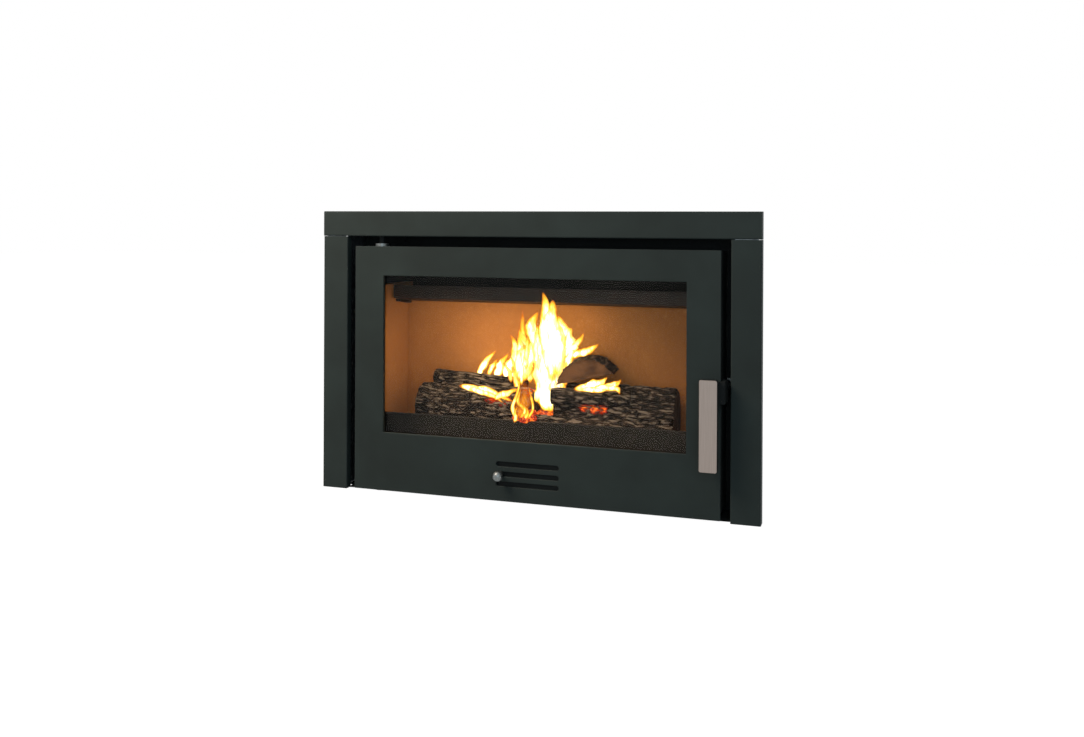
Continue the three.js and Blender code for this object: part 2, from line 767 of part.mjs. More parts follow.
const linerBottom = hearthTop + SEAT;
piece(
  "fixed",
  "liner_back",
  block(
    -linerInner,
    linerInner,
    linerBackY,
    linerBackY + LINER_BACK,
    linerBottom,
    linerBackTop,
  ),
  vermiculite,
);
for (const [label, side] of [["left", -1], ["right", 1]]) {
  const x = [side * (linerInner + SEAT), side * (shellInner - SEAT)];
  const panel = block(
    Math.min(...x),
    Math.max(...x),
    shellFront + SEAT,
    linerBackY + LINER_BACK,
    linerBottom,
    linerSideTop,
  );
  piece("fixed", `liner_${label}`, panel, vermiculite);
}

// Refractory floor with a rebated opening that holds the grate.
const grateY = (shellFront + linerBackY) / 2;
function hearthSlab() {
  const slab = block(
    -shellInner + SEAT,
    shellInner - SEAT,
    shellFront + SEAT,
    linerBackY + LINER_BACK,
    hearthBottom,
    hearthTop,
  );
  const halfLength = GRATE_LENGTH / 2 + SEAT;
  const halfWidth = GRATE_WIDTH / 2 + SEAT;
  const rebate = block(
    -halfLength,
    halfLength,
    grateY - halfWidth,
    grateY + halfWidth,
    hearthTop - GRATE_THICK - SEAT,
    hearthTop + PAST,
  );
  const well = block(
    -halfLength + GRATE_RIM,
    halfLength - GRATE_RIM,
    grateY - halfWidth + GRATE_RIM,
    grateY + halfWidth - GRATE_RIM,
    hearthBottom - PAST,
    hearthTop,
  );
  return cut(slab, rebate, well);
}

// Cast grate: a rim, bars across, and one rib along the middle.
function fireGrate() {
  let grate = block(
    -GRATE_LENGTH / 2,
    GRATE_LENGTH / 2,
    grateY - GRATE_WIDTH / 2,
    grateY + GRATE_WIDTH / 2,
    hearthTop - GRATE_THICK,
    hearthTop,
  );
  const pitch = (GRATE_LENGTH - 2 * GRATE_RIM) / GRATE_BARS;
  const slotLength = (GRATE_WIDTH - 3 * GRATE_RIM) / 2;
  for (let i = 0; i < GRATE_BARS; i += 1) {
    const x = -GRATE_LENGTH / 2 + GRATE_RIM + (i + 0.5) * pitch;
    for (const side of [-1, 1]) {
      const y = grateY + (side * GRATE_RIM) / 2 - (side < 0 ? slotLength : 0);
      const slot = vent(x, y, slotLength, GRATE_SLOT);
      const low = hearthTop - GRATE_THICK - PAST;
      grate = cut(grate, alongZ(slot, low, hearthTop + PAST, VENT_FACETS));
    }
  }
  return grate;
}

// Folded pan with sloping sides and a turned-out front lip to pull it by.
function ashPan() {
  const bottom = floorTop + SEAT;
  const front = faceY + PAN_INSET;
  const half = PAN_LENGTH / 2;
  const section = (inset, low) =>
    polygon([
      [-half + inset + PAN_SLOPE, low],
      [half - inset - PAN_SLOPE, low],
      [half - inset, panTop + inset],
      [-half + inset, panTop + inset],
    ]);
  const outside = alongY(section(0, bottom), front, front + PAN_DEPTH);
  const inside = alongY(
    section(PAN_SHEET, bottom + PAN_SHEET),
    front + PAN_SHEET,
    front + PAN_DEPTH - PAN_SHEET,
  );
  const lip = block(
    -PAN_LIP / 2,
    PAN_LIP / 2,
    faceY - PAN_LIP_REACH,
    front + PAN_SHEET / 2,
    panTop - PAN_LIP_DROP,
    panTop - PAN_LIP_DROP + PAN_SHEET,
  );
  return join(cut(outside, inside), lip);
}

// Front bar that keeps the logs off the glass: an upright strip with a small lip turned back.
function logRetainer() {
  const front = shellFront + RETAINER_STAND;
  const top = hearthTop + SEAT + RETAINER_HEIGHT;
  const section = polygon([
    [hearthTop + SEAT, front],
    [top, front],
    [top, front + RETAINER_SHEET + RETAINER_LIP],
    [top - RETAINER_SHEET, front + RETAINER_SHEET + RETAINER_LIP],
    [top - RETAINER_SHEET, front + RETAINER_SHEET],
    [hearthTop + SEAT, front + RETAINER_SHEET],
  ]);
  return alongX(section, -linerInner + BAFFLE_GAP, linerInner - BAFFLE_GAP);
}

piece("fixed", "hearth_slab", hearthSlab(), vermiculite);
piece("fixed", "fire_grate", fireGrate(), castIron);
piece("fixed", "ash_pan", ashPan(), zincSheet);
piece("fixed", "log_retainer", logRetainer(), castIron);

// Smoke baffle: front flange, sloping plate, and a flat rear edge that lies on the back liner.
const baffleY = shellFront + BAFFLE_FRONT;
const baffleRearZ = linerBackTop + SEAT;
function baffle() {
  const y = baffleY;
  const bend = linerBackY - BAFFLE_PLAY;
  const rear = linerBackY + LINER_BACK - BAFFLE_PLAY;
  const section = polygon([
    [baffleBottom, y],
    [baffleRearZ, bend],
    [baffleRearZ, rear],
    [baffleRearZ + BAFFLE_SHEET, rear],
    [baffleRearZ + BAFFLE_SHEET, bend],
    [baffleBottom + BAFFLE_SHEET, y + BAFFLE_SHEET],
    [baffleBottom + BAFFLE_FLANGE, y + BAFFLE_SHEET],
    [baffleBottom + BAFFLE_FLANGE, y],
  ]);
  return alongX(section, -linerInner + BAFFLE_GAP, linerInner - BAFFLE_GAP);
}

// Strip on each side liner that carries the baffle's slope.
function baffleLedge(side) {
  const y0 = baffleY + BAFFLE_LEDGE_FRONT;
  const y1 = linerBackY - BAFFLE_LEDGE_REAR;
  const slope = (baffleRearZ - baffleBottom) / (linerBackY - BAFFLE_PLAY - baffleY);
  const under = (y) => baffleBottom + slope * (y - baffleY) - SEAT;
  const section = polygon([
    [under(y0), y0],
    [under(y1), y1],
    [under(y1) - BAFFLE_LEDGE_SHEET, y1],
    [under(y0) - BAFFLE_LEDGE_SHEET, y0],
  ]);
  const x = [side * (linerInner - BAFFLE_GAP - BAFFLE_LEDGE_LAP), side * linerInner];
  return alongX(section, Math.min(...x), Math.max(...x));
}

piece("fixed", "smoke_baffle", baffle(), heatSteel);
piece("fixed", "baffle_ledge_left", baffleLedge(-1), heatSteel);
piece("fixed", "baffle_ledge_right", baffleLedge(1), heatSteel);

// ---- Hinge: two fixed arms with pins, two bushes on the door box

const armLeft = hingeX - HINGE_ARM_WIDTH / 2;
const armRight = hingeX + HINGE_ARM_WIDTH / 2;
const armRear = faceY - SEAT;
const hingeHole = HINGE_PIN + 2 * PIN_PLAY;
const topArmZ = doorTop + HINGE_ARM_RISE;
const bushTop = boxTop + SEAT + HINGE_BUSH_HEIGHT;

// Outline of an arm from above, round about the pin.
function armShape() {
  const shape = new THREE.Shape();
  const radius = hingeY - HINGE_ARM_FRONT;
  shape.moveTo(armLeft, armRear);
  shape.lineTo(hingeX - radius, hingeY);
  shape.absarc(hingeX, hingeY, radius, Math.PI, 2 * Math.PI);
  shape.lineTo(armRight, armRear);
  return shape;
}

function topHingeArm() {
  const arm = alongZ(armShape(), topArmZ, topArmZ + HINGE_ARM_SHEET);
  const tab = block(
    armLeft,
    armRight,
    armRear - HINGE_TAB,
    armRear,
    boxTop + HINGE_TAB_ABOVE,
    topArmZ + PAST,
  );
  const high = topArmZ + HINGE_ARM_SHEET + PAST;
  const hole = rodZ(hingeX, hingeY, topArmZ - PAST, high, HINGE_PIN + 2 * SEAT);
  return cut(join(arm, tab), hole);
}

function bottomHingeArm() {
  const arm = alongZ(armShape(), 0, HINGE_FOOT_SHEET);
  const tab = block(
    armLeft,
    armRight,
    armRear - HINGE_TAB,
    armRear,
    0,
    boxBottom - HINGE_TAB_BELOW,
  );
  const hole = rodZ(hingeX, hingeY, -PAST, HINGE_FOOT_SHEET + PAST, HINGE_PIN + 2 * SEAT);
  return cut(join(arm, tab), hole);
}

function bush(z0, z1) {
  const ring = rodZ(hingeX, hingeY, z0, z1, HINGE_BUSH);
  return cut(ring, rodZ(hingeX, hingeY, z0 - PAST, z1 + PAST, hingeHole));
}

const topPinHead = topArmZ + HINGE_ARM_SHEET + SEAT;
const topPin = join(
  rodZ(hingeX, hingeY, boxTop - BOX_SHEET - PIN_TOP_REACH, topPinHead + PAST, HINGE_PIN),
  rodZ(hingeX, hingeY, topPinHead, topPinHead + PIN_HEAD, HINGE_PIN + 2 * PIN_HEAD_LEDGE),
);
const bottomPinTop = boxBottom + BOX_SHEET + PIN_BOTTOM_REACH;
const bottomPin = rodZ(hingeX, hingeY, PIN_LIFT, bottomPinTop, HINGE_PIN);
piece("fixed", "hinge_arm_top", topHingeArm(), steelPaint);
piece("fixed", "hinge_arm_bottom", bottomHingeArm(), steelPaint);
piece("fixed", "hinge_pin_top", topPin, polishedSteel);
piece("fixed", "hinge_pin_bottom", bottomPin, polishedSteel);
piece("door", "hinge_bush_top", bush(boxTop + SEAT, bushTop), steelPaint);
piece("door", "hinge_bush_bottom", bush(HINGE_FOOT_SHEET + SEAT, boxBottom - SEAT), steelPaint);

// ---- Door panel, box, seal and glass

function slotPath(path, row, length, shift = 0) {
  const z = slotZ + (row - (SLOT_COUNT - 1) / 2) * SLOT_PITCH;
  const half = length / 2;
  return roundRect(
    path,
    shift - half,
    shift + half,
    z - SLOT_HEIGHT / 2,
    z + SLOT_HEIGHT / 2,
    SLOT_HEIGHT / 2 - HAIR,
  );
}

function doorPanel() {
  const plate = new THREE.Shape();
  roundRect(plate, -doorHalf, doorHalf, doorBottom, doorTop, DOOR_RADIUS);
  const opening = roundRect(
    new THREE.Path(),
    -windowHalf,
    windowHalf,
    windowBottom,
    windowTop,
    WINDOW_RADIUS,
  );
  plate.holes.push(opening);
  for (let row = 0; row < SLOT_COUNT; row += 1) {
    plate.holes.push(slotPath(new THREE.Path(), row, SLOT_LENGTH));
  }
  return alongY(plate, 0, DOOR_SHEET, DOOR_EDGE);
}

// Plan of the door box, drawn in by some thickness, with its rear left corner turned like the seat.
function boxPlan(inset, front) {
  const lift = -ropeHalf - inset;
  const left = boxLeft + inset;
  return polygon([
    [left, front],
    [boxRight - inset, front],
    [boxRight - inset, ropeY + lift],
    bendPoint(lift),
    turnedAtX(left, lift),
  ]);
}

// Four walls with a lip turned in at the rear, on which the rope lies.
function doorBox() {
  const outside = alongZ(boxPlan(0, boxFront), boxBottom, boxTop);
  const insidePlan = boxPlan(BOX_SHEET, boxFront - PAST);
  const inside = alongZ(insidePlan, boxBottom + BOX_SHEET, boxTop - BOX_SHEET);
  const lipLeft = turned(ROPE_RUN - SEAT_MARGIN, -ropeHalf - BOX_SHEET - PAST);
  const mouthPlan = polygon([
    lipLeft,
    turned(ROPE_RUN - SEAT_MARGIN, 0),
    [bendX, ropeY],
    [boxRight - BOX_LIP, ropeY],
    [boxRight - BOX_LIP, lipLeft[1]],
  ]);
  const mouth = alongZ(mouthPlan, boxBottom + BOX_LIP, boxTop - BOX_LIP);
  const reach = BOX_SHEET + PAST;
  const pinHoles = [boxBottom, boxTop].map((z) =>
    rodZ(hingeX, hingeY, z - reach, z + reach, hingeHole),
  );
  const pivotHole = rodX(
    boxRight - reach,
    boxRight + reach,
    PIVOT_DEPTH,
    pivotZ,
    PIVOT_PIN + 2 * SEAT,
  );
  return cut(outside, inside, mouth, ...pinHoles, pivotHole);
}

// A rope of round section laid in a ring on the box's rear lip. Its corners turn on a radius, and
// its top and bottom runs bend beside the hinge.
function ropeSeal() {
  const radius = ROPE / 2;
  const left = bendX - ROPE_RUN + ROPE_CORNER;
  const right = boxRight - radius - ROPE_CORNER;
  const bottom = boxBottom + radius + ROPE_CORNER;
  const top = boxTop - radius - ROPE_CORNER;
  const flat = (s, lift) => [s, ropeY + lift];
  const bent = (s, lift) => bendPoint(lift);
  const beside = (s, lift) => turned(bendX - s, lift);
  const rings = [];
  const addCorner = (s, z, from, place) => {
    for (let i = 0; i <= ROPE_STEPS; i += 1) {
      rings.push({ s, z, angle: from + ((i / ROPE_STEPS) * Math.PI) / 2, place });
    }
  };
  addCorner(right, bottom, -Math.PI / 2, flat);
  addCorner(right, top, 0, flat);
  rings.push({ s: bendX, z: top, angle: Math.PI / 2, place: bent });
  addCorner(left, top, Math.PI / 2, beside);
  addCorner(left, bottom, Math.PI, beside);
  rings.push({ s: bendX, z: bottom, angle: 1.5 * Math.PI, place: bent });
  const positions = [];
  for (const ring of rings) {
    for (let j = 0; j < ROPE_SIDES; j += 1) {
      const turn = (j / ROPE_SIDES) * 2 * Math.PI;
      const reach = ROPE_CORNER + radius * Math.cos(turn);
      const s = ring.s + reach * Math.cos(ring.angle);
      const [x, y] = ring.place(s, radius * Math.sin(turn));
      positions.push(x, y, ring.z + reach * Math.sin(ring.angle));
    }
  }
  const index = [];
  for (let i = 0; i < rings.length; i += 1) {
    for (let j = 0; j < ROPE_SIDES; j += 1) {
      const next = (i + 1) % rings.length;
      const a = i * ROPE_SIDES + j;
      const b = i * ROPE_SIDES + ((j + 1) % ROPE_SIDES);
      const c = next * ROPE_SIDES + ((j + 1) % ROPE_SIDES);
      const d = next * ROPE_SIDES + j;
      index.push(a, b, c, a, c, d);
    }
  }
  const geometry = new THREE.BufferGeometry();
  geometry.setAttribute("position", new THREE.Float32BufferAttribute(positions, 3));
  geometry.setIndex(index);
  return solid(geometry);
}

const gasketY = DOOR_SHEET + SEAT;
const glassY = gasketY + GASKET_THICK + SEAT;
const glassRear = glassY + GLASS_THICK;
const glassHalf = windowHalf + GLASS_LAP;
const glassBottom = windowBottom - GLASS_LAP;
const glassTop = windowTop + GLASS_LAP;

function glassGasket() {
  const tape = new THREE.Shape();
  const wide = GASKET_MARGIN + GASKET_WIDTH;
  roundRect(
    tape,
    -windowHalf - wide,
    windowHalf + wide,
    windowBottom - wide,
    windowTop + wide,
    GASKET_RADIUS,
  );
  const hole = roundRect(
    new THREE.Path(),
    -windowHalf - GASKET_MARGIN,
    windowHalf + GASKET_MARGIN,
    windowBottom - GASKET_MARGIN,
    windowTop + GASKET_MARGIN,
    WINDOW_RADIUS,
  );
  tape.holes.push(hole);
  return alongY(tape, gasketY, gasketY + GASKET_THICK);
}

function doorGlass() {
  const pane = new THREE.Shape();
  roundRect(pane, -glassHalf, glassHalf, glassBottom, glassTop, GLASS_RADIUS);
  return alongY(pane, glassY, glassRear);
}

// Stepped clip: a foot screwed to the panel's back and a finger over the glass.
function glassClip(side, z) {
  const edge = glassHalf + CLIP_PLAY;
  const foot = edge + CLIP_FOOT;
  const finger = glassHalf - CLIP_FINGER;
  const rear = glassRear + SEAT;
  const section = polygon([
    [side * edge, gasketY],
    [side * foot, gasketY],
    [side * foot, gasketY + CLIP_SHEET],
    [side * (edge + CLIP_SHEET), gasketY + CLIP_SHEET],
    [side * (edge + CLIP_SHEET), rear + CLIP_SHEET],
    [side * finger, rear + CLIP_SHEET],
    [side * finger, rear],
    [side * edge, rear],
  ]);
  return alongZ(section, z - CLIP_HEIGHT / 2, z + CLIP_HEIGHT / 2);
}

piece("door", "door_panel", doorPanel(), steelPaint);
piece("door", "door_box", doorBox(), steelPaint);
piece("door", "door_rope_seal", ropeSeal(), ropeFibre);
piece("door", "glass_gasket", glassGasket(), ropeFibre);
piece("door", "door_glass", doorGlass(), ceramicGlass);
for (const [label, side] of [["left", -1], ["right", 1]]) {
  piece("door", `glass_clip_${label}_lower`, glassClip(side, windowBottom + CLIP_INSET), zincSheet);
  piece("door", `glass_clip_${label}_upper`, glassClip(side, windowTop - CLIP_INSET), zincSheet);
}

// ---- Air control: a slotted plate that slides behind the panel's slots

const slideHalf = ((SLOT_COUNT - 1) * SLOT_PITCH + SLOT_HEIGHT) / 2 + SLIDE_MARGIN;
const slideFront = DOOR_SHEET + SEAT;
const slideRear = slideFront + SLIDE_SHEET;
const slideWindow = SLIDE_TRAVEL + SLIDE_SPARE;
const slideWindowX = -SLOT_LENGTH / 2 - SLIDE_OVERLAP - slideWindow / 2;
const slideLeft = slideWindowX - slideWindow / 2 - SLIDE_END;
const slideRight = SLOT_LENGTH / 2 + SLIDE_END;

function airSlide() {
  const plate = new THREE.Shape();
  roundRect(plate, slideLeft, slideRight, slotZ - slideHalf, slotZ + slideHalf, SLIDE_RADIUS);
  for (let row = 0; row < SLOT_COUNT; row += 1) {
    plate.holes.push(slotPath(new THREE.Path(), row, slideWindow, slideWindowX));
  }
  const hole = new THREE.Path();
  hole.absarc(knobX, slotZ, STEM_TAIL / 2 + SEAT, 0, 2 * Math.PI);
  plate.holes.push(hole);
  return alongY(plate, slideFront, slideRear);
}

// Rail with a lip that holds the sliding plate against the panel.
function slideGuide(side) {
  const edge = slotZ + side * (slideHalf + PIN_PLAY);
  const outer = edge + side * GUIDE_FLANGE;
  const lip = slotZ + side * (slideHalf - GUIDE_LAP);
  const back = slideRear + PIN_PLAY;
  const section = polygon([
    [outer, slideFront],
    [edge, slideFront],
    [edge, back],
    [lip, back],
    [lip, back + GUIDE_SHEET],
    [outer, back + GUIDE_SHEET],
  ]);
  return alongX(section, slideLeft - GUIDE_SPARE, slideRight + SLIDE_TRAVEL + GUIDE_SPARE);
}

// Turned stem, its thin tail riveted behind the plate, and the ball screwed on its front end.
function lathed(profile, x, z) {
  const points = profile.map(([r, y]) => new THREE.Vector2(r, y));
  return solid(new THREE.LatheGeometry(points, 20).translate(x, 0, z));
}

const stemFront = -KNOB_STAND + STEM_SHORT;
function slideStem() {
  const shank = STEM / 2;
  const tail = STEM_TAIL / 2;
  const rivet = slideRear + SEAT;
  return lathed(
    [
      [0, stemFront],
      [shank, stemFront],
      [shank, slideFront - SEAT],
      [tail, slideFront - SEAT],
      [tail, rivet],
      [shank + STEM_RIVET_LEDGE, rivet],
      [shank, rivet + STEM_RIVET],
      [0, rivet + STEM_RIVET],
    ],
    knobX,
    slotZ,
  );
}

function ballKnob() {
  const ball = new THREE.SphereGeometry(KNOB / 2, 24, 14);
  const sphere = solid(ball.rotateX(Math.PI / 2).translate(knobX, -KNOB_STAND, slotZ));
  const bore = lathed(
    [
      [0, stemFront - SEAT],
      [STEM / 2 + SEAT, stemFront - SEAT],
      [STEM / 2 + SEAT, 0],
      [0, 0],
    ],
    knobX,
    slotZ,
  );
  return cut(sphere, bore);
}

piece("slide", "air_slide_plate", airSlide(), darkPaint);
piece("slide", "air_slide_stem", slideStem(), polishedSteel);
piece("slide", "air_slide_knob", ballKnob(), polishedSteel);
piece("door", "slide_guide_upper", slideGuide(1), zincSheet);
piece("door", "slide_guide_lower", slideGuide(-1), zincSheet);

// ---- Latch: a lever that turns on a pin in the door box's side and hooks under the keeper pin

const handleRight = doorHalf - HANDLE_INSET;
const handleLeft = handleRight - HANDLE_WIDTH;
const handleBottom = doorBottom + HANDLE_RISE;
const handleTop = handleBottom + HANDLE_LENGTH;
const handleFront = -HANDLE_REACH;
const bodyFront = handleFront + FACING_SHEET + SEAT;
const bodyRear = bodyFront + HANDLE_BODY;
const leverLeft = doorHalf + LEVER_GAP;
const leverRight = leverLeft + LEVER_SHEET;
const keeperY = PIVOT_DEPTH + KEEPER_REACH;
const keeperZ = pivotZ + KEEPER_ABOVE;

// Side view of the lever as (z, y): from the cross arm back past the pivot to the hook, whose tooth
// has a front face on an arc about the pivot and stays just below the keeper pin at rest.
function leverShape() {
  const keeperUnder = keeperZ - KEEPER_PIN / 2;
  const armTop = keeperUnder - HOOK_DROP;
  const toothTop = keeperUnder - HOOK_CLEAR;
  const inner = Math.hypot(KEEPER_REACH, KEEPER_ABOVE) + KEEPER_PIN / 2 + SEAT;
  const outer = inner + HOOK_TOOTH;
  const onArc = (radius, z) => PIVOT_DEPTH + Math.sqrt(radius ** 2 - (z - pivotZ) ** 2);
  const top = pivotZ + PIVOT_ABOVE;
  const bottom = top - LEVER_HEIGHT;
  const armBottom = armTop - HOOK_ARM;
  const shape = new THREE.Shape();
  shape.moveTo(bottom, -LEVER_BACK);
  shape.lineTo(top, -LEVER_BACK);
  shape.lineTo(top, PIVOT_DEPTH - NECK_START);
  shape.quadraticCurveTo(top, PIVOT_DEPTH + NECK_CURVE, armTop, PIVOT_DEPTH + NECK_END);
  shape.lineTo(armTop, onArc(inner, armTop));
  shape.lineTo(toothTop, onArc(inner, toothTop));
  shape.lineTo(toothTop, onArc(outer, toothTop) - HOOK_CHAMFER);
  shape.lineTo(toothTop - HOOK_CHAMFER, onArc(outer, toothTop - HOOK_CHAMFER));
  shape.lineTo(armBottom + HOOK_NOSE, onArc(outer, armBottom + HOOK_NOSE));
  shape.lineTo(armBottom, onArc(outer, armBottom) - HOOK_NOSE);
  shape.lineTo(armBottom - HOOK_TAPER, PIVOT_DEPTH + NECK_END);
  shape.quadraticCurveTo(bottom, PIVOT_DEPTH + NECK_CURVE, bottom, PIVOT_DEPTH - NECK_START);
  return shape;
}

function latchLever() {
  const blade = alongX(leverShape(), leverLeft, leverRight);
  const top = pivotZ + PIVOT_ABOVE;
  const arm = block(
    handleLeft + HANDLE_SHEET + LEVER_ARM_PLAY,
    leverRight,
    bodyRear + SEAT,
    -LEVER_BACK + PAST,
    top - LEVER_HEIGHT,
    top,
  );
  const hole = rodX(
    leverLeft - PAST,
    leverRight + PAST,
    PIVOT_DEPTH,
    pivotZ,
    PIVOT_PIN + 2 * PIN_PLAY,
  );
  return cut(join(blade, arm), hole);
}

// Grip: a shallow folded channel, open towards the door, with round ends.
function handleBody() {
  const outside = new THREE.Shape();
  roundRect(outside, handleLeft, handleRight, handleBottom, handleTop, HANDLE_RADIUS);
  const inside = new THREE.Shape();
  roundRect(
    inside,
    handleLeft + HANDLE_SHEET,
    handleRight - HANDLE_SHEET,
    handleBottom + HANDLE_SHEET,
    handleTop - HANDLE_SHEET,
    HANDLE_RADIUS / 2,
  );
  const channel = cut(
    alongY(outside, bodyFront, bodyRear, HANDLE_EDGE),
    alongY(inside, bodyFront + HANDLE_SHEET, bodyRear + PAST),
  );
  const top = pivotZ + PIVOT_ABOVE;
  const boss = block(
    handleLeft + HANDLE_SHEET - PAST,
    handleRight - HANDLE_SHEET + PAST,
    bodyFront + HANDLE_SHEET - PAST,
    bodyRear,
    top - LEVER_HEIGHT,
    top,
  );
  return join(channel, boss);
}

function handleFacing() {
  const plate = new THREE.Shape();
  roundRect(plate, handleLeft, handleRight, handleBottom, handleTop, HANDLE_RADIUS);
  return alongY(plate, handleFront, handleFront + FACING_SHEET, FACING_EDGE);
}

// Shouldered pin: riveted in the box's side, a spacer against it, and a head outside the lever.
function pivotPin() {
  const shoulder = boxRight + SEAT;
  const inner = boxRight - BOX_SHEET - SEAT;
  const head = leverRight + SEAT;
  return join(
    rodX(inner - RIVET_HEIGHT, inner, PIVOT_DEPTH, pivotZ, PIVOT_PIN + 2 * RIVET_LEDGE),
    rodX(inner - PAST, head + PAST, PIVOT_DEPTH, pivotZ, PIVOT_PIN),
    rodX(shoulder, leverLeft - SEAT, PIVOT_DEPTH, pivotZ, PIVOT_PIN + 2 * SPACER_LEDGE),
    rodX(head, head + HEAD_HEIGHT, PIVOT_DEPTH, pivotZ, PIVOT_PIN + 2 * HEAD_LEDGE),
  );
}

const keeperLeft = leverRight + KEEPER_GAP;
const keeperRight = keeperLeft + KEEPER_SHEET;
function keeperBracket() {
  const rear = faceY - SEAT;
  const low = keeperZ - KEEPER_HEIGHT / 2;
  const high = keeperZ + KEEPER_HEIGHT / 2;
  const web = block(keeperLeft, keeperRight, keeperY - KEEPER_FRONT, rear, low, high);
  const foot = block(keeperLeft, shellHalf + KEEPER_FOOT, rear - KEEPER_SHEET, rear, low, high);
  const hole = rodX(
    keeperLeft - PAST,
    keeperRight + PAST,
    keeperY,
    keeperZ,
    KEEPER_PIN + 2 * SEAT,
  );
  return cut(join(web, foot), hole);
}

const keeperHead = keeperRight + SEAT;
const keeperPin = join(
  rodX(doorHalf + KEEPER_PIN_GAP, keeperHead + PAST, keeperY, keeperZ, KEEPER_PIN),
  rodX(keeperHead, keeperHead + HEAD_HEIGHT, keeperY, keeperZ, KEEPER_PIN + 2 * HEAD_LEDGE),
);

piece("latch", "latch_lever", latchLever(), steelPaint);
piece("latch", "handle_body", handleBody(), darkPaint);
piece("latch", "handle_facing", handleFacing(), brushedSteel);
piece("door", "latch_pivot_pin", pivotPin(), polishedSteel);
piece("fixed", "keeper_bracket", keeperBracket(), steelPaint);
piece("fixed", "keeper_pin", keeperPin, polishedSteel);

// ---- Firewood on the hearth

const LOG_REST = hearthTop + 2 * SEAT;

// A log as a loft of uneven ovals from one end to the other; grow widens it all round.
function logSolid(log, grow = 0) {
  const start = new THREE.Vector3(...log.from);
  const axis = new THREE.Vector3(...log.to).sub(start);
  const across = new THREE.Vector3(-axis.y, axis.x, 0).normalize();
  const up = new THREE.Vector3().crossVectors(axis.clone().normalize(), across);
  const positions = [];
  for (let i = 0; i <= LOG_RINGS; i += 1) {
    const t = i / LOG_RINGS;
    const centre = start.clone().addScaledVector(axis, t);
    for (let j = 0; j < LOG_SIDES; j += 1) {
      const angle = (j / LOG_SIDES) * 2 * Math.PI;
      const wave = Math.sin(3 * angle + log.seed) + Math.sin(5 * angle + 2.4 * i + 2 * log.seed);
      const scale = (1 - LOG_SWELL * (1 - wave / 2)) * (1 - LOG_TAPER * t);
      const wide = (log.wide * scale) / 2 + grow;
      const tall = (log.tall * scale) / 2 + grow;
      const point = centre
        .clone()
        .addScaledVector(across, wide * Math.cos(angle))
        .addScaledVector(up, tall * Math.sin(angle));
      positions.push(point.x, point.y, point.z);
    }
  }
  const ends = [start, start.clone().add(axis)];
  for (const end of ends) positions.push(end.x, end.y, end.z);
  const index = [];
  const first = (LOG_RINGS + 1) * LOG_SIDES;
  for (let j = 0; j < LOG_SIDES; j += 1) {
    const next = (j + 1) % LOG_SIDES;
    for (let i = 0; i < LOG_RINGS; i += 1) {
      const a = i * LOG_SIDES + j;
      const b = i * LOG_SIDES + next;
      index.push(a, b, b + LOG_SIDES, a, b + LOG_SIDES, a + LOG_SIDES);
    }
    const last = LOG_RINGS * LOG_SIDES;
    index.push(first, next, j, first + 1, last + j, last + next);
  }
  const geometry = new THREE.BufferGeometry();
  geometry.setAttribute("position", new THREE.Float32BufferAttribute(positions, 3));
  geometry.setIndex(index);
  return solid(geometry);
}

const logs = {
  log_left: { from: [-281, 152, LOG_REST + 49], to: [-36, 150, LOG_REST + 48], wide: 88, tall: 98 },
  log_right: { from: [4, 168, LOG_REST + 54], to: [232, 169, LOG_REST + 54], wide: 84, tall: 110 },
  log_front: { from: [-28, 113, LOG_REST + 28], to: [236, 112, LOG_REST + 24], wide: 34, tall: 54 },
  log_branch: { from: [-253, 180, 187], to: [-64, 184, 176], wide: 34, tall: 34 },
  log_middle: { from: [4, 123, 172], to: [152, 141, 168], wide: 30, tall: 34 },
};
const builtLogs = [];
Object.entries(logs).forEach(([name, log], i) => {
  const full = { ...log, seed: 1.7 * i + 0.4 };
  const wood = cut(logSolid(full), ...builtLogs);
  builtLogs.push(logSolid(full, SEAT));
  piece("fixed", name, wood, bark);
});

// A split log seen on its end: a segment of a round, laid flat side down across the others.
function splitLog() {
  const radius = (SPLIT_CHORD ** 2 / 4 + SPLIT_RISE ** 2) / (2 * SPLIT_RISE);
  const half = Math.asin(SPLIT_CHORD / 2 / radius);
  const section = new THREE.Shape();
  section.absarc(0, SPLIT_RISE - radius, radius, Math.PI / 2 - half, Math.PI / 2 + half);
  const wood = extrude(section, SPLIT_LENGTH).rotateX(Math.PI / 2);
  return solid(wood.rotateY(SPLIT_TILT).rotateZ(SPLIT_TURN).translate(58, 205, 203));
}
piece("fixed", "log_split", cut(splitLog(), ...builtLogs), bark);

// ---- Origin under the middle of the bounding box
const bounds = new THREE.Box3().setFromObject(insert);
const middle = bounds.getCenter(new THREE.Vector3());
insert.position.set(-middle.x, -middle.y, -bounds.min.z);

export default insert;
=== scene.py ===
import math
import random

import bpy
from mathutils import Matrix, Vector, noise


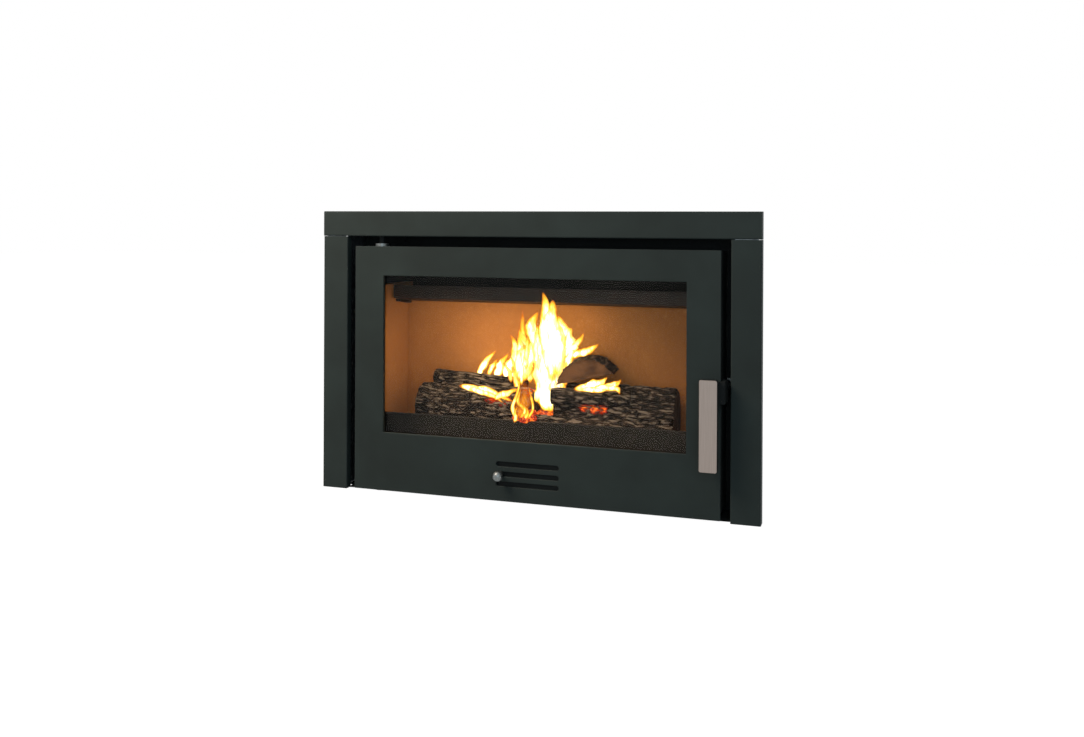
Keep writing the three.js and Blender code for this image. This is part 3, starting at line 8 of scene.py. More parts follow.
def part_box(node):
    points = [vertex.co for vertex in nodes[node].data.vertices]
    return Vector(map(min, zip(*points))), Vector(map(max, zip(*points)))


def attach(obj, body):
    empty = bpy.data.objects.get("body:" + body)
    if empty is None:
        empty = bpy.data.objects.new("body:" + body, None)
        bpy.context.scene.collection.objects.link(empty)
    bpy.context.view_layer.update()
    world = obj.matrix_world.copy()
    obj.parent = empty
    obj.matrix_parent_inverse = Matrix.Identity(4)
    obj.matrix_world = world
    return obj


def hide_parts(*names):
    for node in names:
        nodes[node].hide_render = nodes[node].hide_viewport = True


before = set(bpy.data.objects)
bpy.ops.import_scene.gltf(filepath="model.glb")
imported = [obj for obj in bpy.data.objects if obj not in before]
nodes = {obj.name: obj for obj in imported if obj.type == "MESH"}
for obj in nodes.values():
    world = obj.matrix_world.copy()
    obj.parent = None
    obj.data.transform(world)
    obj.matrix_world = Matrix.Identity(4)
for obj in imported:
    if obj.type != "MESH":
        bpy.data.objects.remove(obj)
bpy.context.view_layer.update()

# ---- The photograph's view
# The camera stands to the right of the insert, level with the top of its trim, and looks 18
# degrees to the left. Its frame is shifted down on to the insert, so upright edges stay upright.
VIEW_LENS = 34.93  # mm, on a sensor 36 mm wide
VIEW_DOWN = -0.1337
VIEW_PLACE = Vector((0.5931, -1.8602, 0.4888))
VIEW_YAW = math.radians(18.2)
VIEW_ROLL = math.radians(0.259)

camera_data = bpy.data.cameras.new("photo_view")
camera_data.lens = VIEW_LENS
camera_data.sensor_width = 36
camera_data.shift_y = VIEW_DOWN
camera = bpy.data.objects.new("photo_view", camera_data)
camera.matrix_world = (
    Matrix.Translation(VIEW_PLACE)
    @ Matrix.Rotation(VIEW_YAW, 4, "Z")
    @ Matrix.Rotation(math.pi / 2, 4, "X")
    @ Matrix.Rotation(VIEW_ROLL, 4, "Z")
)
bpy.context.scene.collection.objects.link(camera)
bpy.context.scene.camera = camera
bpy.context.scene.view_settings.view_transform = "Standard"


# ---- Surround trim
# Three bars folded from 3 mm sheet steel and sprayed with silicone high-temperature paint, baked
# to a matt anthracite. The same paint is on the door panel.

def linear(hex_colour):
    """An sRGB hex colour as the linear colour that the shaders take."""
    parts = [int(hex_colour[i : i + 2], 16) / 255 for i in (1, 3, 5)]
    bent = [c / 12.92 if c <= 0.04045 else ((c + 0.055) / 1.055) ** 2.4 for c in parts]
    return (*bent, 1)


def add_node(tree, kind, inputs=None, stops=None, **options):
    """Adds one node with its options, its input values or links, and its ramp's stops."""
    node = tree.nodes.new("ShaderNode" + kind)
    for name, value in options.items():
        setattr(node, name, value)
    for socket, value in (inputs or {}).items():
        if isinstance(value, bpy.types.NodeSocket):
            tree.links.new(value, node.inputs[socket])
        else:
            node.inputs[socket].default_value = value
    if stops:
        band = node.color_ramp.elements
        band[0].position, band[0].color = stops[0]
        band[1].position, band[1].color = stops[-1]
        for position, colour in stops[1:-1]:
            band.new(position).color = colour
    return node


def mottle(tree, coords, size, detail=2, roughness=0.5):
    """Noise from 0 to 1 in patches about as wide as size."""
    inputs = {"Vector": coords, "Scale": 1 / size, "Detail": detail, "Roughness": roughness}
    return add_node(tree, "TexNoise", inputs).outputs["Fac"]


def ramp(tree, value, *stops):
    """The colour of a value, from places and their sRGB hex colours."""
    stops = [(position, linear(colour)) for position, colour in stops]
    return add_node(tree, "ValToRGB", {"Fac": value}, stops=stops).outputs["Color"]


def remap(tree, value, source, target):
    """A value taken from one range to another, and held inside it."""
    inputs = {"Value": value, "From Min": source[0], "From Max": source[1]}
    inputs |= {"To Min": target[0], "To Max": target[1]}
    return add_node(tree, "MapRange", inputs).outputs["Result"]


def bumped(tree, height, strength, depth):
    """The surface's direction, bumped by a height of which 1 stands for depth metres."""
    inputs = {"Height": height, "Strength": strength, "Distance": depth}
    return add_node(tree, "Bump", inputs).outputs["Normal"]


def start_finish(name):
    """A new material, its empty node tree, and the object's own coordinates in metres."""
    material = bpy.data.materials.new(name)
    material.use_nodes = True
    tree = material.node_tree
    tree.nodes.clear()
    coords = add_node(tree, "TexCoord").outputs["Object"]
    return material, tree, coords


def end_finish(tree, shader):
    add_node(tree, "OutputMaterial", {"Surface": shader.outputs[0]})


def end_surface(material, tree, colour, gloss, more):
    """Ends a material with one Principled shader, and returns it."""
    inputs = {"Base Color": colour, "Roughness": gloss} | more
    end_finish(tree, add_node(tree, "BsdfPrincipled", inputs))
    return material


def coat(material, *names):
    """Gives the CAD nodes of these names their finish."""
    for name in names:
        for slot in nodes[name].material_slots:
            slot.material = material


# Silicone paint on steel: matt, cloudy by a shade over a hand's width where the coat is thicker,
# and with the orange peel of a spray coat, too fine to show, drawn 1.4 mm wide.
def stove_paint(name, thin, thick):
    material, tree, coords = start_finish(name)
    cloud = mottle(tree, coords, 0.09)
    colour = ramp(tree, cloud, (0.3, thin), (0.7, thick))
    peel = mottle(tree, coords, 0.0014, 3, 0.6)
    gloss = remap(tree, peel, (0.3, 0.7), (0.5, 0.62))
    bump = bumped(tree, peel, 0.22, 0.0002)
    more = {"Normal": bump, "IOR": 1.5, "Specular IOR Level": 0.07}
    return end_surface(material, tree, colour, gloss, more)


anthracite_paint = stove_paint("anthracite_paint", "#2B3332", "#303A39")
coat(anthracite_paint, "trim_top", "trim_left", "trim_right")


# ---- Trim plates and brackets, outer casing, rails
# Hot-dip galvanised sheet steel, cut, folded and bolted. It stays behind the trim, against the
# masonry, and keeps its dull zinc spangle.

# Zinc: a bluish grey metal whose crystals, about 9 mm across, each turn the light a little apart.
def galvanised_sheet():
    material, tree, coords = start_finish("galvanised_sheet")
    crystal = add_node(tree, "TexVoronoi", {"Vector": coords, "Scale": 1 / 0.009})
    shade = add_node(tree, "SeparateColor", {"Color": crystal.outputs["Color"]})
    colour = ramp(tree, shade.outputs["Red"], (0, "#858C90"), (1, "#A3AAAD"))
    gloss = remap(tree, shade.outputs["Green"], (0, 1), (0.32, 0.5))
    handling = mottle(tree, coords, 0.0022, 4, 0.7)
    bump = bumped(tree, handling, 0.1, 0.0002)
    return end_surface(material, tree, colour, gloss, {"Normal": bump, "Metallic": 0.9})


zinc_sheet = galvanised_sheet()
coat(zinc_sheet, "outer_casing", "casing_top")
for label in ("left", "right"):
    coat(zinc_sheet, f"trim_corner_plate_{label}", f"trim_bracket_top_{label}")
    coat(zinc_sheet, f"trim_bracket_{label}_lower", f"trim_bracket_{label}_upper")
    coat(zinc_sheet, f"support_rail_{label}")


# ---- Flue collar, firebox and its front frame, hinge arms, keeper bracket
# Welded from 4 mm sheet steel and sprayed matt black. The collar is rolled tube with a bead near
# its rim that a flue pipe clamps over.

black_paint = stove_paint("black_paint", "#181B1B", "#1F2323")
coat(black_paint, "firebox_face", "firebox_shell")
coat(black_paint, "hinge_arm_top", "hinge_arm_bottom", "keeper_bracket")


def new_piece(name, points, faces, finish, body, slot, smooth=True):
    """A mesh piece in the frame's place, in its finish, riding on a body."""
    mesh = bpy.data.meshes.new(name)
    mesh.from_pydata([tuple(p) for p in points], [], faces)
    mesh.validate()
    if smooth:
        mesh.shade_smooth()
        mesh.set_sharp_from_angle(angle=math.radians(38))
    piece = bpy.data.objects.new(name, mesh)
    bpy.context.scene.collection.objects.link(piece)
    mesh.materials.append(finish)
    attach(piece, body)
    return piece


def loft(rings):
    """Quads between rings of equal length, each closed on itself."""
    sides = len(rings[0])
    faces = []
    for i in range(len(rings) - 1):
        for j in range(sides):
            k = (j + 1) % sides
            faces.append((rings[i][j], rings[i][k], rings[i + 1][k], rings[i + 1][j]))
    return faces


def turned_body(profile, centre, axis, sides, socket=0):
    """Points and faces of a profile of (radius, height) turned about an axis through a point.

    The first socket points of the profile are drawn to a hexagon.
    """
    axis = axis.normalized()
    across = axis.orthogonal().normalized()
    beside = axis.cross(across)
    points = []
    for i, (radius, height) in enumerate(profile):
        for j in range(sides):
            turn = 2 * math.pi * j / sides
            reach = across * math.cos(turn) + beside * math.sin(turn)
            flat = 1 / math.cos(turn % (math.pi / 3) - math.pi / 6) if i < socket else 1
            points.append(centre + axis * height + reach * radius * flat)
    return points, loft([range(i * sides, (i + 1) * sides) for i in range(len(profile))])


COLLAR = 0.075  # outer radius
COLLAR_WALL = 0.003
COLLAR_FLANGE = 0.006
COLLAR_WELD = 0.0012
COLLAR_EDGE = 0.0006
COLLAR_BEAD = [(0, 0.0128), (0.0008, 0.0118), (0.0018, 0.0108), (0.002, 0.01)]
COLLAR_BEAD += [(0.0018, 0.0092), (0.0008, 0.0082), (0, 0.0072)]  # out, and below the rim
collar_low, collar_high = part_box("flue_collar")
collar_middle = (collar_low + collar_high) / 2
collar_bore = COLLAR - COLLAR_WALL
collar_rise = collar_high.z - collar_low.z
collar_profile = [
    (collar_bore, 0),
    (COLLAR + COLLAR_FLANGE, 0),
    (COLLAR + COLLAR_FLANGE, COLLAR_WALL),
    (COLLAR + COLLAR_WELD, COLLAR_WALL + 0.0001),
    (COLLAR, COLLAR_WALL + COLLAR_WELD),
    *[(COLLAR + out, collar_rise - below) for out, below in COLLAR_BEAD],
    (COLLAR, collar_rise - COLLAR_EDGE),
    (COLLAR - COLLAR_EDGE, collar_rise),
    (collar_bore + COLLAR_EDGE, collar_rise),
    (collar_bore, collar_rise - COLLAR_EDGE),
    (collar_bore, 0),
]
collar_foot = Vector((collar_middle.x, collar_middle.y, collar_low.z))
flue_pipe_collar = new_piece(
    "flue_pipe_collar",
    *turned_body(collar_profile, collar_foot, Vector((0, 0, 1)), 96),
    black_paint,
    "firebox",
    "stove_black",
)
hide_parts("flue_collar")


# ---- Sill strip, painted shade in the gaps beside the door
# A strip of thin black sheet, laid on the casing's base from just behind the trim's front to under
# the firebox. It is painted shade in the gaps beside the door, so that no bright floor shows
# through them.

SILL_SHEET = 0.0004
CASING_SHEET = 0.002
SILL_PLAY = 0.0005  # to the trim, the casing and the door's lower edge
SILL_EDGE = 0.004  # behind the trim's front
SILL_REACH = 0.036  # past the front of the firebox
trim_low, trim_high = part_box("trim_right")
sill_step = trim_high.y + SILL_PLAY
sill_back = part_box("firebox_face")[0].y + SILL_REACH
sill_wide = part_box("outer_casing")[1].x - CASING_SHEET - SILL_PLAY
sill_slim = trim_low.x - SILL_PLAY
sill_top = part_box("door_panel")[0].z - SILL_PLAY / 4
plan = [
    (sill_slim, trim_low.y + SILL_EDGE),
    (sill_slim, sill_step),
    (sill_wide, sill_step),
    (sill_wide, sill_back),
]
plan += [(-x, y) for x, y in reversed(plan)]
count = len(plan)
points = [(x, y, z) for z in (sill_top - SILL_SHEET, sill_top) for x, y in plan]
faces = [tuple(range(count - 1, -1, -1)), tuple(range(count, 2 * count))]
for i in range(count):
    k = (i + 1) % count
    faces.append((i, k, count + k, count + i))
# The black sheet is painted shade in the gaps beside the door.
new_piece("shade_sill_strip", points, faces, black_paint, "firebox", "stove_black", smooth=False)


# ---- Hinge pins, latch pins, air knob's stem
# Turned from bright steel bar. The keeper's pin and the stem stay bare, and the other pins are
# sprayed black with the pieces that they hold.

# Turned steel: a grey satin metal, its tool rings too fine to show, drawn as a 0.6 mm grain.
def lathe_turned_steel():
    material, tree, coords = start_finish("turned_steel")
    rings = mottle(tree, coords, 0.0006)
    gloss = remap(tree, rings, (0, 1), (0.32, 0.46))
    tint = ramp(tree, rings, (0.2, "#666C6C"), (0.8, "#777D7D"))
    return end_surface(material, tree, tint, gloss, {"Metallic": 0.9})


turned_steel = lathe_turned_steel()
coat(turned_steel, "keeper_pin", "air_slide_stem")
coat(black_paint, "hinge_pin_top", "hinge_pin_bottom", "latch_pivot_pin")


# ---- Screws and rivets of the casing, the brackets and the corner plates
# Socket screws M5 of zinc-plated steel tie the brackets to the casing and to the trim. Rivets 4 mm
# thick hold the lid on the casing and the corner plates on the trim.

SCREW_HEAD = [(0.00001, 0.0012), (0.0014, 0.0012), (0.0014, 0.0027)]  # its socket
SCREW_HEAD += [(0.0026, 0.0027), (0.0041, 0.0019), (0.0047, 0.0006), (0.0047, 0)]
RIVET_HEAD = [(0.00001, 0.0009), (0.0011, 0.0009), (0.0013, 0.0015)]  # its mandrel hole
RIVET_HEAD += [(0.0024, 0.0013), (0.0035, 0.0007), (0.0038, 0)]


def add_screw(name, centre, axis, body="firebox"):
    shape = turned_body(SCREW_HEAD, centre, Vector(axis), 36, socket=3)
    new_piece(name, *shape, turned_steel, body, "turned_steel")


def add_rivet(name, centre, axis, body="firebox"):
    shape = turned_body(RIVET_HEAD, centre, Vector(axis), 24)
    new_piece(name, *shape, zinc_sheet, body, "galvanised_sheet")


def from_side(box, side, inset):
    """The x that lies this far in from the left (-1) or right (1) side of a box."""
    return box[1].x - inset if side > 0 else box[0].x + inset


BRACKET_SHEET = 0.0025
BRACKET_FOOT = 0.0195  # from a bracket's outer end to its foot on the casing
SCREW_INSET = 0.009  # from a bracket's end to its screw
for side, label in ((-1, "left"), (1, "right")):
    for level in ("lower", "upper"):
        low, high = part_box(f"trim_bracket_{label}_{level}")
        outer = from_side((low, high), side, BRACKET_FOOT)
        middle = Vector((outer, high.y - SCREW_INSET, (low.z + high.z) / 2))
        add_screw(f"bracket_screw_{label}_{level}", middle, (side, 0, 0))
        tip = from_side((low, high), side, SCREW_INSET)
        flange = Vector((tip, low.y + BRACKET_SHEET, (low.z + high.z) / 2))
        add_screw(f"bracket_trim_screw_{label}_{level}", flange, (0, 1, 0))
    low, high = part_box(f"trim_bracket_top_{label}")
    middle = Vector(((low.x + high.x) / 2, high.y - SCREW_INSET, low.z + BRACKET_SHEET))
    add_screw(f"bracket_screw_top_{label}", middle, (0, 0, 1))

POST_INSET = 0.019  # from a corner plate's outer side to its rivets in the upright bar
ARM_INSET = 0.016  # from its inner end to its rivet in the top bar
POST_RIVETS = (0.008, 0.022)  # above its lower edge
TOP_RIVETS = 0.012  # below its upper edge
for side, label in ((-1, "left"), (1, "right")):
    low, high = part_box(f"trim_corner_plate_{label}")
    post = from_side((low, high), side, POST_INSET)
    arm = from_side((low, high), -side, ARM_INSET)
    spots = [(post, low.z + rise) for rise in POST_RIVETS]
    spots += [(x, high.z - TOP_RIVETS) for x in (post, arm)]
    for i, (x, z) in enumerate(spots):
        add_rivet(f"corner_rivet_{label}_{i + 1}", Vector((x, high.y, z)), (0, 1, 0))

LID_INSET = 0.008  # from the lid's edge to its rivets
LID_CORNER = 0.04  # from its corner to the first rivet
LID_PITCH = 0.065  # along its sides
BACK_RIVETS = 9
lid_low, lid_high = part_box("casing_top")
for i in range(BACK_RIVETS):
    run = lid_high.x - lid_low.x - 2 * LID_CORNER
    x = lid_low.x + LID_CORNER + run * i / (BACK_RIVETS - 1)
    spot = Vector((x, lid_high.y - LID_INSET, lid_high.z))
    add_rivet(f"lid_rivet_back_{i + 1}", spot, (0, 0, 1))
for side, label in ((-1, "left"), (1, "right")):
    for i in range(3):
        x = from_side((lid_low, lid_high), side, LID_INSET)
        y = lid_low.y + LID_CORNER + LID_PITCH * i
        add_rivet(f"lid_rivet_{label}_{i + 1}", Vector((x, y, lid_high.z)), (0, 0, 1))


# ---- Liners and hearth
# Boards pressed from vermiculite grains with a binder, cut with a saw and set in loose. They are
# soft and matt, and the fire burns them clean to a warm tan.

def blend(tree, share, first, second):
    """The colour that a share of the second in the first gives."""
    inputs = {0: share, 6: first, 7: second}
    return add_node(tree, "Mix", inputs, data_type="RGBA").outputs[2]


# Vermiculite: mica grains about 2.5 mm across in a matt binder, some paler and some darker, with
# smoke left in clouds where the flames don't reach.
def vermiculite():
    material, tree, coords = start_finish("vermiculite_board")
    grain = add_node(tree, "TexVoronoi", {"Vector": coords, "Scale": 1 / 0.0025})
    tone = add_node(tree, "SeparateColor", {"Color": grain.outputs["Color"]})
    tans = (0, "#8F5B2B"), (0.15, "#9E6631"), (0.85, "#A56B34"), (1, "#B47C43")
    flecks = ramp(tree, tone.outputs["Red"], *tans)
    cloud = mottle(tree, coords, 0.12, 3)
    smoke = remap(tree, cloud, (0.4, 0.75), (0, 0.22))
    colour = blend(tree, smoke, flecks, linear("#6E4521"))
    bump = bumped(tree, grain.outputs["Distance"], 0.25, 0.0004)
    return end_surface(material, tree, colour, 0.92, {"Normal": bump, "IOR": 1.45})


vermiculite_board = vermiculite()
coat(vermiculite_board, "liner_back", "liner_left", "liner_right", "hearth_slab")


# ---- Grate and log retainer
# Grey iron, sand cast and left bare, dull from the fire.

# Cast iron: a dark matt metal with the grain of moulding sand, about 1 mm, and a faint rust bloom.
def sand_cast_iron():
    material, tree, coords = start_finish("sand_cast_iron")
    bloom = mottle(tree, coords, 0.03, 5)
    colour = ramp(tree, bloom, (0.35, "#151310"), (0.7, "#1F1B15"))
    sand = mottle(tree, coords, 0.001, 3, 0.7)
    bump = bumped(tree, sand, 0.25, 0.0003)
    return end_surface(material, tree, colour, 0.85, {"Normal": bump, "Metallic": 0.3})


cast_iron = sand_cast_iron()
coat(cast_iron, "fire_grate", "log_retainer")
coat(zinc_sheet, "ash_pan")


# ---- Smoke baffle and its ledges
# Plate steel folded once along its front, loose on two ledges. The flames scale it, so its paint
# is gone and a dark brown oxide is left.

# Scaled steel: rough brown-black oxide that flakes in patches a few centimetres wide.
def scaled_steel():
    material, tree, coords = start_finish("scaled_steel")
    flake = mottle(tree, coords, 0.025, 6, 0.6)
    colour = ramp(tree, flake, (0.35, "#120904"), (0.55, "#1D1007"), (0.8, "#2E190B"))
    bump = bumped(tree, flake, 0.3, 0.0008)
    return end_surface(material, tree, colour, 0.6, {"Normal": bump, "Metallic": 0.25})


oxide_steel = scaled_steel()
coat(oxide_steel, "smoke_baffle", "baffle_ledge_left", "baffle_ledge_right")


# ---- Door panel, bushes and door box
# The panel is 5 mm plate cut by laser, the box behind it folded and welded from 3 mm sheet. The
# panel is anthracite, the box matt black inside and out, and the bushes are left bare.

coat(anthracite_paint, "door_panel")
coat(turned_steel, "hinge_bush_top", "hinge_bush_bottom")
coat(black_paint, "door_box")
coat(zinc_sheet, "slide_guide_upper", "slide_guide_lower")
coat(black_paint, "air_slide_plate")


# ---- Rope seal
# Braided glass-fibre rope, 9 mm thick, glued in a ring to the lip of the door box. Beside the
# hinge its upper and lower runs bend back, so that it lifts off its seat as the door turns.

# Glass fibre: pale grey yarns 0.8 mm wide, dull and a little hairy, greyed by smoke.
def braided_glass_fibre():
    material, tree, coords = start_finish("braided_glass_fibre")
    yarn = mottle(tree, coords, 0.0008, 3, 0.7)
    soot = mottle(tree, coords, 0.05, 3)
    colour = ramp(tree, soot, (0.35, "#4A4743"), (0.7, "#7D7972"))
    bump = bumped(tree, yarn, 0.5, 0.0004)
    return end_surface(material, tree, colour, 0.9, {"Normal": bump, "IOR": 1.5})


glass_fibre = braided_glass_fibre()
coat(glass_fibre, "glass_gasket")

ROPE = 0.0045  # radius
ROPE_CORNER = 0.014
ROPE_STEP = 0.0025  # along the rope
ROPE_SIDES = 28
ROPE_BEND = -0.289  # x of the bend beside the hinge
ROPE_RUN = 0.023  # from the bend to the left run
ROPE_TURN = math.pi / 8
ROPE_BEND_WIDTH = 0.0001
ROPE_GROOVE = 0.14  # between strands, as a share of the radius
CORNER_STEPS = 8
STRANDS = 8  # round the rope, in each of the two ways of the braid
STRAND_TURN = 0.034  # a strand goes once round in this length

rope_low, rope_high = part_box("door_rope_seal")
rope_y = rope_high.y - ROPE
rope_right = rope_high.x - ROPE - ROPE_CORNER
rope_left = ROPE_BEND - ROPE_RUN + ROPE_CORNER
rope_top = rope_high.z - ROPE - ROPE_CORNER
rope_bottom = rope_low.z + ROPE + ROPE_CORNER
rope_path = []  # across, height, way that the rope's outer side faces


def rope_corner(across, height, start):
    for i in range(CORNER_STEPS + 1):
        rope_path.append((across, height, start + math.pi / 2 / CORNER_STEPS * i))


def rope_run(start, end, facing):
    steps = round(math.dist(start, end) / ROPE_STEP)
    for i in range(1, steps):
        share = i / steps
        across = start[0] + (end[0] - start[0]) * share
        rope_path.append((across, start[1] + (end[1] - start[1]) * share, facing))


stops = [(rope_right, rope_bottom), (rope_right, rope_top), (ROPE_BEND, rope_top)]
stops += [(rope_left, rope_top), (rope_left, rope_bottom), (ROPE_BEND, rope_bottom)]
facing = -math.pi / 2
for stop, following in zip(stops, stops[1:] + stops[:1]):
    if stop[0] == ROPE_BEND:
        rope_path.append((*stop, facing))
    else:
        rope_corner(*stop, facing)
        facing += math.pi / 2
    rope_run(stop, following, facing)

rope_points, rope_rings = [], []
travelled = 0
for i, (across, height, facing) in enumerate(rope_path):
    travelled += ROPE_STEP
    rope_rings.append(range(i * ROPE_SIDES, (i + 1) * ROPE_SIDES))
    for j in range(ROPE_SIDES):
        turn = 2 * math.pi * j / ROPE_SIDES
        strands = STRANDS * turn / 2
        wind = STRANDS * math.pi * travelled / STRAND_TURN
        relief = max(abs(math.cos(strands + wind)), abs(math.cos(strands - wind)))
        radius = ROPE * (1 - ROPE_GROOVE + ROPE_GROOVE * relief)
        reach = ROPE_CORNER + radius * math.cos(turn)
        lift = radius * math.sin(turn)
        run = across + reach * math.cos(facing)
        z = height + reach * math.sin(facing)
        if run > ROPE_BEND + ROPE_BEND_WIDTH:
            x, y = run, rope_y + lift
        elif run > ROPE_BEND - ROPE_BEND_WIDTH:
            x, y = ROPE_BEND - lift * math.tan(ROPE_TURN / 2), rope_y + lift
        else:
            back = ROPE_BEND - run
            x = ROPE_BEND - back * math.cos(ROPE_TURN) - lift * math.sin(ROPE_TURN)
            y = rope_y - back * math.sin(ROPE_TURN) + lift * math.cos(ROPE_TURN)
        rope_points.append((x, y, z))
rope_faces = loft(rope_rings + rope_rings[:1])
braided_rope = new_piece(
    "braided_rope", rope_points, rope_faces, glass_fibre, "door", "glass_fibre_rope"
)
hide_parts("door_rope_seal")


# ---- Door glass and its clips
# Ceramic glass 4 mm thick, held behind the window by four folded clips on a tape of glass fibre.

# Ceramic glass: clear with the faintest warm tint and a polished face. Lamps shine through it. The
# photo's pane mirrors almost nothing, so its mirror image is tinted down to a tenth.
def ceramic_pane():
    material, tree, _ = start_finish("ceramic_pane")
    inputs = {"Base Color": linear("#F7F5EF"), "Roughness": 0.02, "Transmission Weight": 1}
    inputs |= {"IOR": 1.5, "Specular Tint": (0.1, 0.1, 0.1, 1)}
    glass = add_node(tree, "BsdfPrincipled", inputs)
    clear = add_node(tree, "BsdfTransparent", {"Color": linear("#F3F1EB")})
    shadow = add_node(tree, "LightPath").outputs["Is Shadow Ray"]
    shader = add_node(tree, "MixShader", {0: shadow, 1: glass.outputs[0], 2: clear.outputs[0]})
    end_finish(tree, shader)
    return material


ceramic_glass = ceramic_pane()
coat(ceramic_glass, "door_glass")
CLIP_SHEET = 0.002
CLIP_INSET = 0.0055  # from a clip's outer end to its screw
for side, label in ((-1, "left"), (1, "right")):
    for level in ("lower", "upper"):
        coat(zinc_sheet, f"glass_clip_{label}_{level}")
        low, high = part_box(f"glass_clip_{label}_{level}")
        x = from_side((low, high), side, CLIP_INSET)
        middle = Vector((x, low.y + CLIP_SHEET, (low.z + high.z) / 2))
        add_screw(f"clip_screw_{label}_{level}", middle, (0, 1, 0), "door")


# ---- Air knob
# A steel ball, bored and screwed on the stem that passes through the middle slot.

knob_low, knob_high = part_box("air_slide_knob")
knob_middle = (knob_low + knob_high) / 2
KNOB = 0.009  # radius
KNOB_STEPS = 32  # in half a turn
KNOB_BORE = 0.0034  # radius
knob_profile = []
for step in range(KNOB_STEPS - 3):
    angle = math.pi * step / KNOB_STEPS
    knob_profile.append((KNOB * math.sin(angle), KNOB * math.cos(angle)))
knob_profile += [(KNOB_BORE, -0.0086), (KNOB_BORE, -0.0068)]
ball_knob = new_piece(
    "ball_knob",
    *turned_body(knob_profile, knob_middle, Vector((0, -1, 0)), 64),
    turned_steel,
    "air_slide",
    "turned_steel",
)
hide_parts("air_slide_knob")


# ---- Handle
# A folded channel with a facing of stainless steel, on a lever cut from 6 mm plate. The facing is
# brushed along its length.

coat(black_paint, "latch_lever", "handle_body")


def drawn_out(tree, coords, *sizes):
    """The coordinates of a pattern whose marks are of these sizes."""
    inputs = {"Vector": coords, "Scale": [1 / size for size in sizes]}
    return add_node(tree, "Mapping", inputs).outputs[0]


# Brushed stainless steel: a warm grey metal, its scratches too fine to show, drawn 0.8 mm wide and
# 60 mm long, so that highlights spread across the grip.
def brushed_steel():
    material, tree, coords = start_finish("brushed_stainless")
    along = drawn_out(tree, coords, 0.0008, 0.0008, 0.06)
    scratch = mottle(tree, along, 1, 3)
    colour = ramp(tree, scratch, (0.25, "#867C75"), (0.75, "#968C85"))
    gloss = remap(tree, scratch, (0, 1), (0.3, 0.5))
    bump = bumped(tree, scratch, 0.12, 0.0001)
    return end_surface(material, tree, colour, gloss, {"Normal": bump, "Metallic": 0.85})


brushed_stainless = brushed_steel()
coat(brushed_stainless, "handle_facing")


# ---- Firewood
# Two rounds lie side by side at the back with a thin round before the right one, a branch and a
# short stick across them, and a split log on top, its sawn end to the room.

TRIM_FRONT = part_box("trim_top")[0].y


def place(x, y, z):
    """A point given in millimetres, y counted back from the front of the trim."""
    return Vector((x / 1000, TRIM_FRONT + y / 1000, z / 1000))


def kept(tree, name):
    """The value of this name that is kept on the mesh."""
    return add_node(tree, "Attribute", attribute_name=name).outputs["Fac"]


def maths(tree, operation, *values):
    return add_node(tree, "Math", dict(enumerate(values)), operation=operation).outputs[0]


# Rough bark: plates about 34 by 7 mm along the log, grey on their tops and black in the
# furrows. This is partly the bark's own colour, and partly painted highlight on the tops and
# painted shade in the furrows. How high a point lies, and how hot, is kept on the mesh by the code
# that shapes it.
def rough_bark():
    material, tree, coords = start_finish("rough_bark")
    height = kept(tree, "plate")
    fine = mottle(tree, drawn_out(tree, coords, 0.016, 0.004, 0.004), 1, 5, 0.62)
    flake = remap(tree, fine, (0.34, 0.68), (0, 1))
    # The bark's tone comes from height and flakes. Besides the bark's own colour, it holds painted
    # shade in the furrows and painted highlight on the plates' tops.
    tone_and_painted_light = maths(tree, "MULTIPLY_ADD", height, 0.6, flake)
    greys = (0.45, "#0A0705"), (0.68, "#1E1611"), (0.86, "#3E3227"), (1.0, "#75685A")
    colour = ramp(tree, tone_and_painted_light, *greys)
    heat = kept(tree, "hotness")
    crack = remap(tree, tone_and_painted_light, (0.35, 0.85), (1, 0))
    glow = maths(tree, "MULTIPLY", heat, crack)
    fires = (0.05, "#000000"), (0.25, "#7A1204"), (0.55, "#E8480C"), (0.9, "#FFB030")
    embers = ramp(tree, glow, *fires)
    bump = bumped(tree, fine, 0.8, 0.002)
    more = {"Normal": bump, "IOR": 1.45, "Specular IOR Level": 0.3}
    more |= {"Emission Color": embers, "Emission Strength": 1.6}
    return end_surface(material, tree, colour, 0.9, more)


# Sawn and split wood: brown, with growth rings 3 mm apart round the pith and charred patches a few
# centimetres wide. The distance from the pith and how much of the wood is unburnt are kept on the
# mesh.
def sawn_wood():
    material, tree, coords = start_finish("sawn_wood")
    pith = kept(tree, "pith")
    wander = mottle(tree, coords, 0.015, 3)
    drift = maths(tree, "MULTIPLY", wander, 9)
    turns = maths(tree, "MULTIPLY_ADD", pith, 2 * math.pi / 0.003, drift)
    rings = maths(tree, "SINE", turns)
    grain = remap(tree, rings, (-1, 1), (0, 1))
    wood = ramp(tree, grain, (0.1, "#5B3A22"), (0.8, "#7E5636"))
    char = mottle(tree, coords, 0.03, 5, 0.6)
    patches = remap(tree, char, (0.42, 0.66), (0, 0.8))
    sound = kept(tree, "plate")
    burnt = remap(tree, sound, (0, 0.5), (1, patches))
    colour = blend(tree, burnt, wood, linear("#1F1610"))
    fibre = mottle(tree, coords, 0.0015, 3, 0.6)
    bump = bumped(tree, fibre, 0.5, 0.0005)
    more = {"Normal": bump, "IOR": 1.45, "Specular IOR Level": 0.3}
    return end_surface(material, tree, colour, 0.85, more)


bark = rough_bark()
wood = sawn_wood()

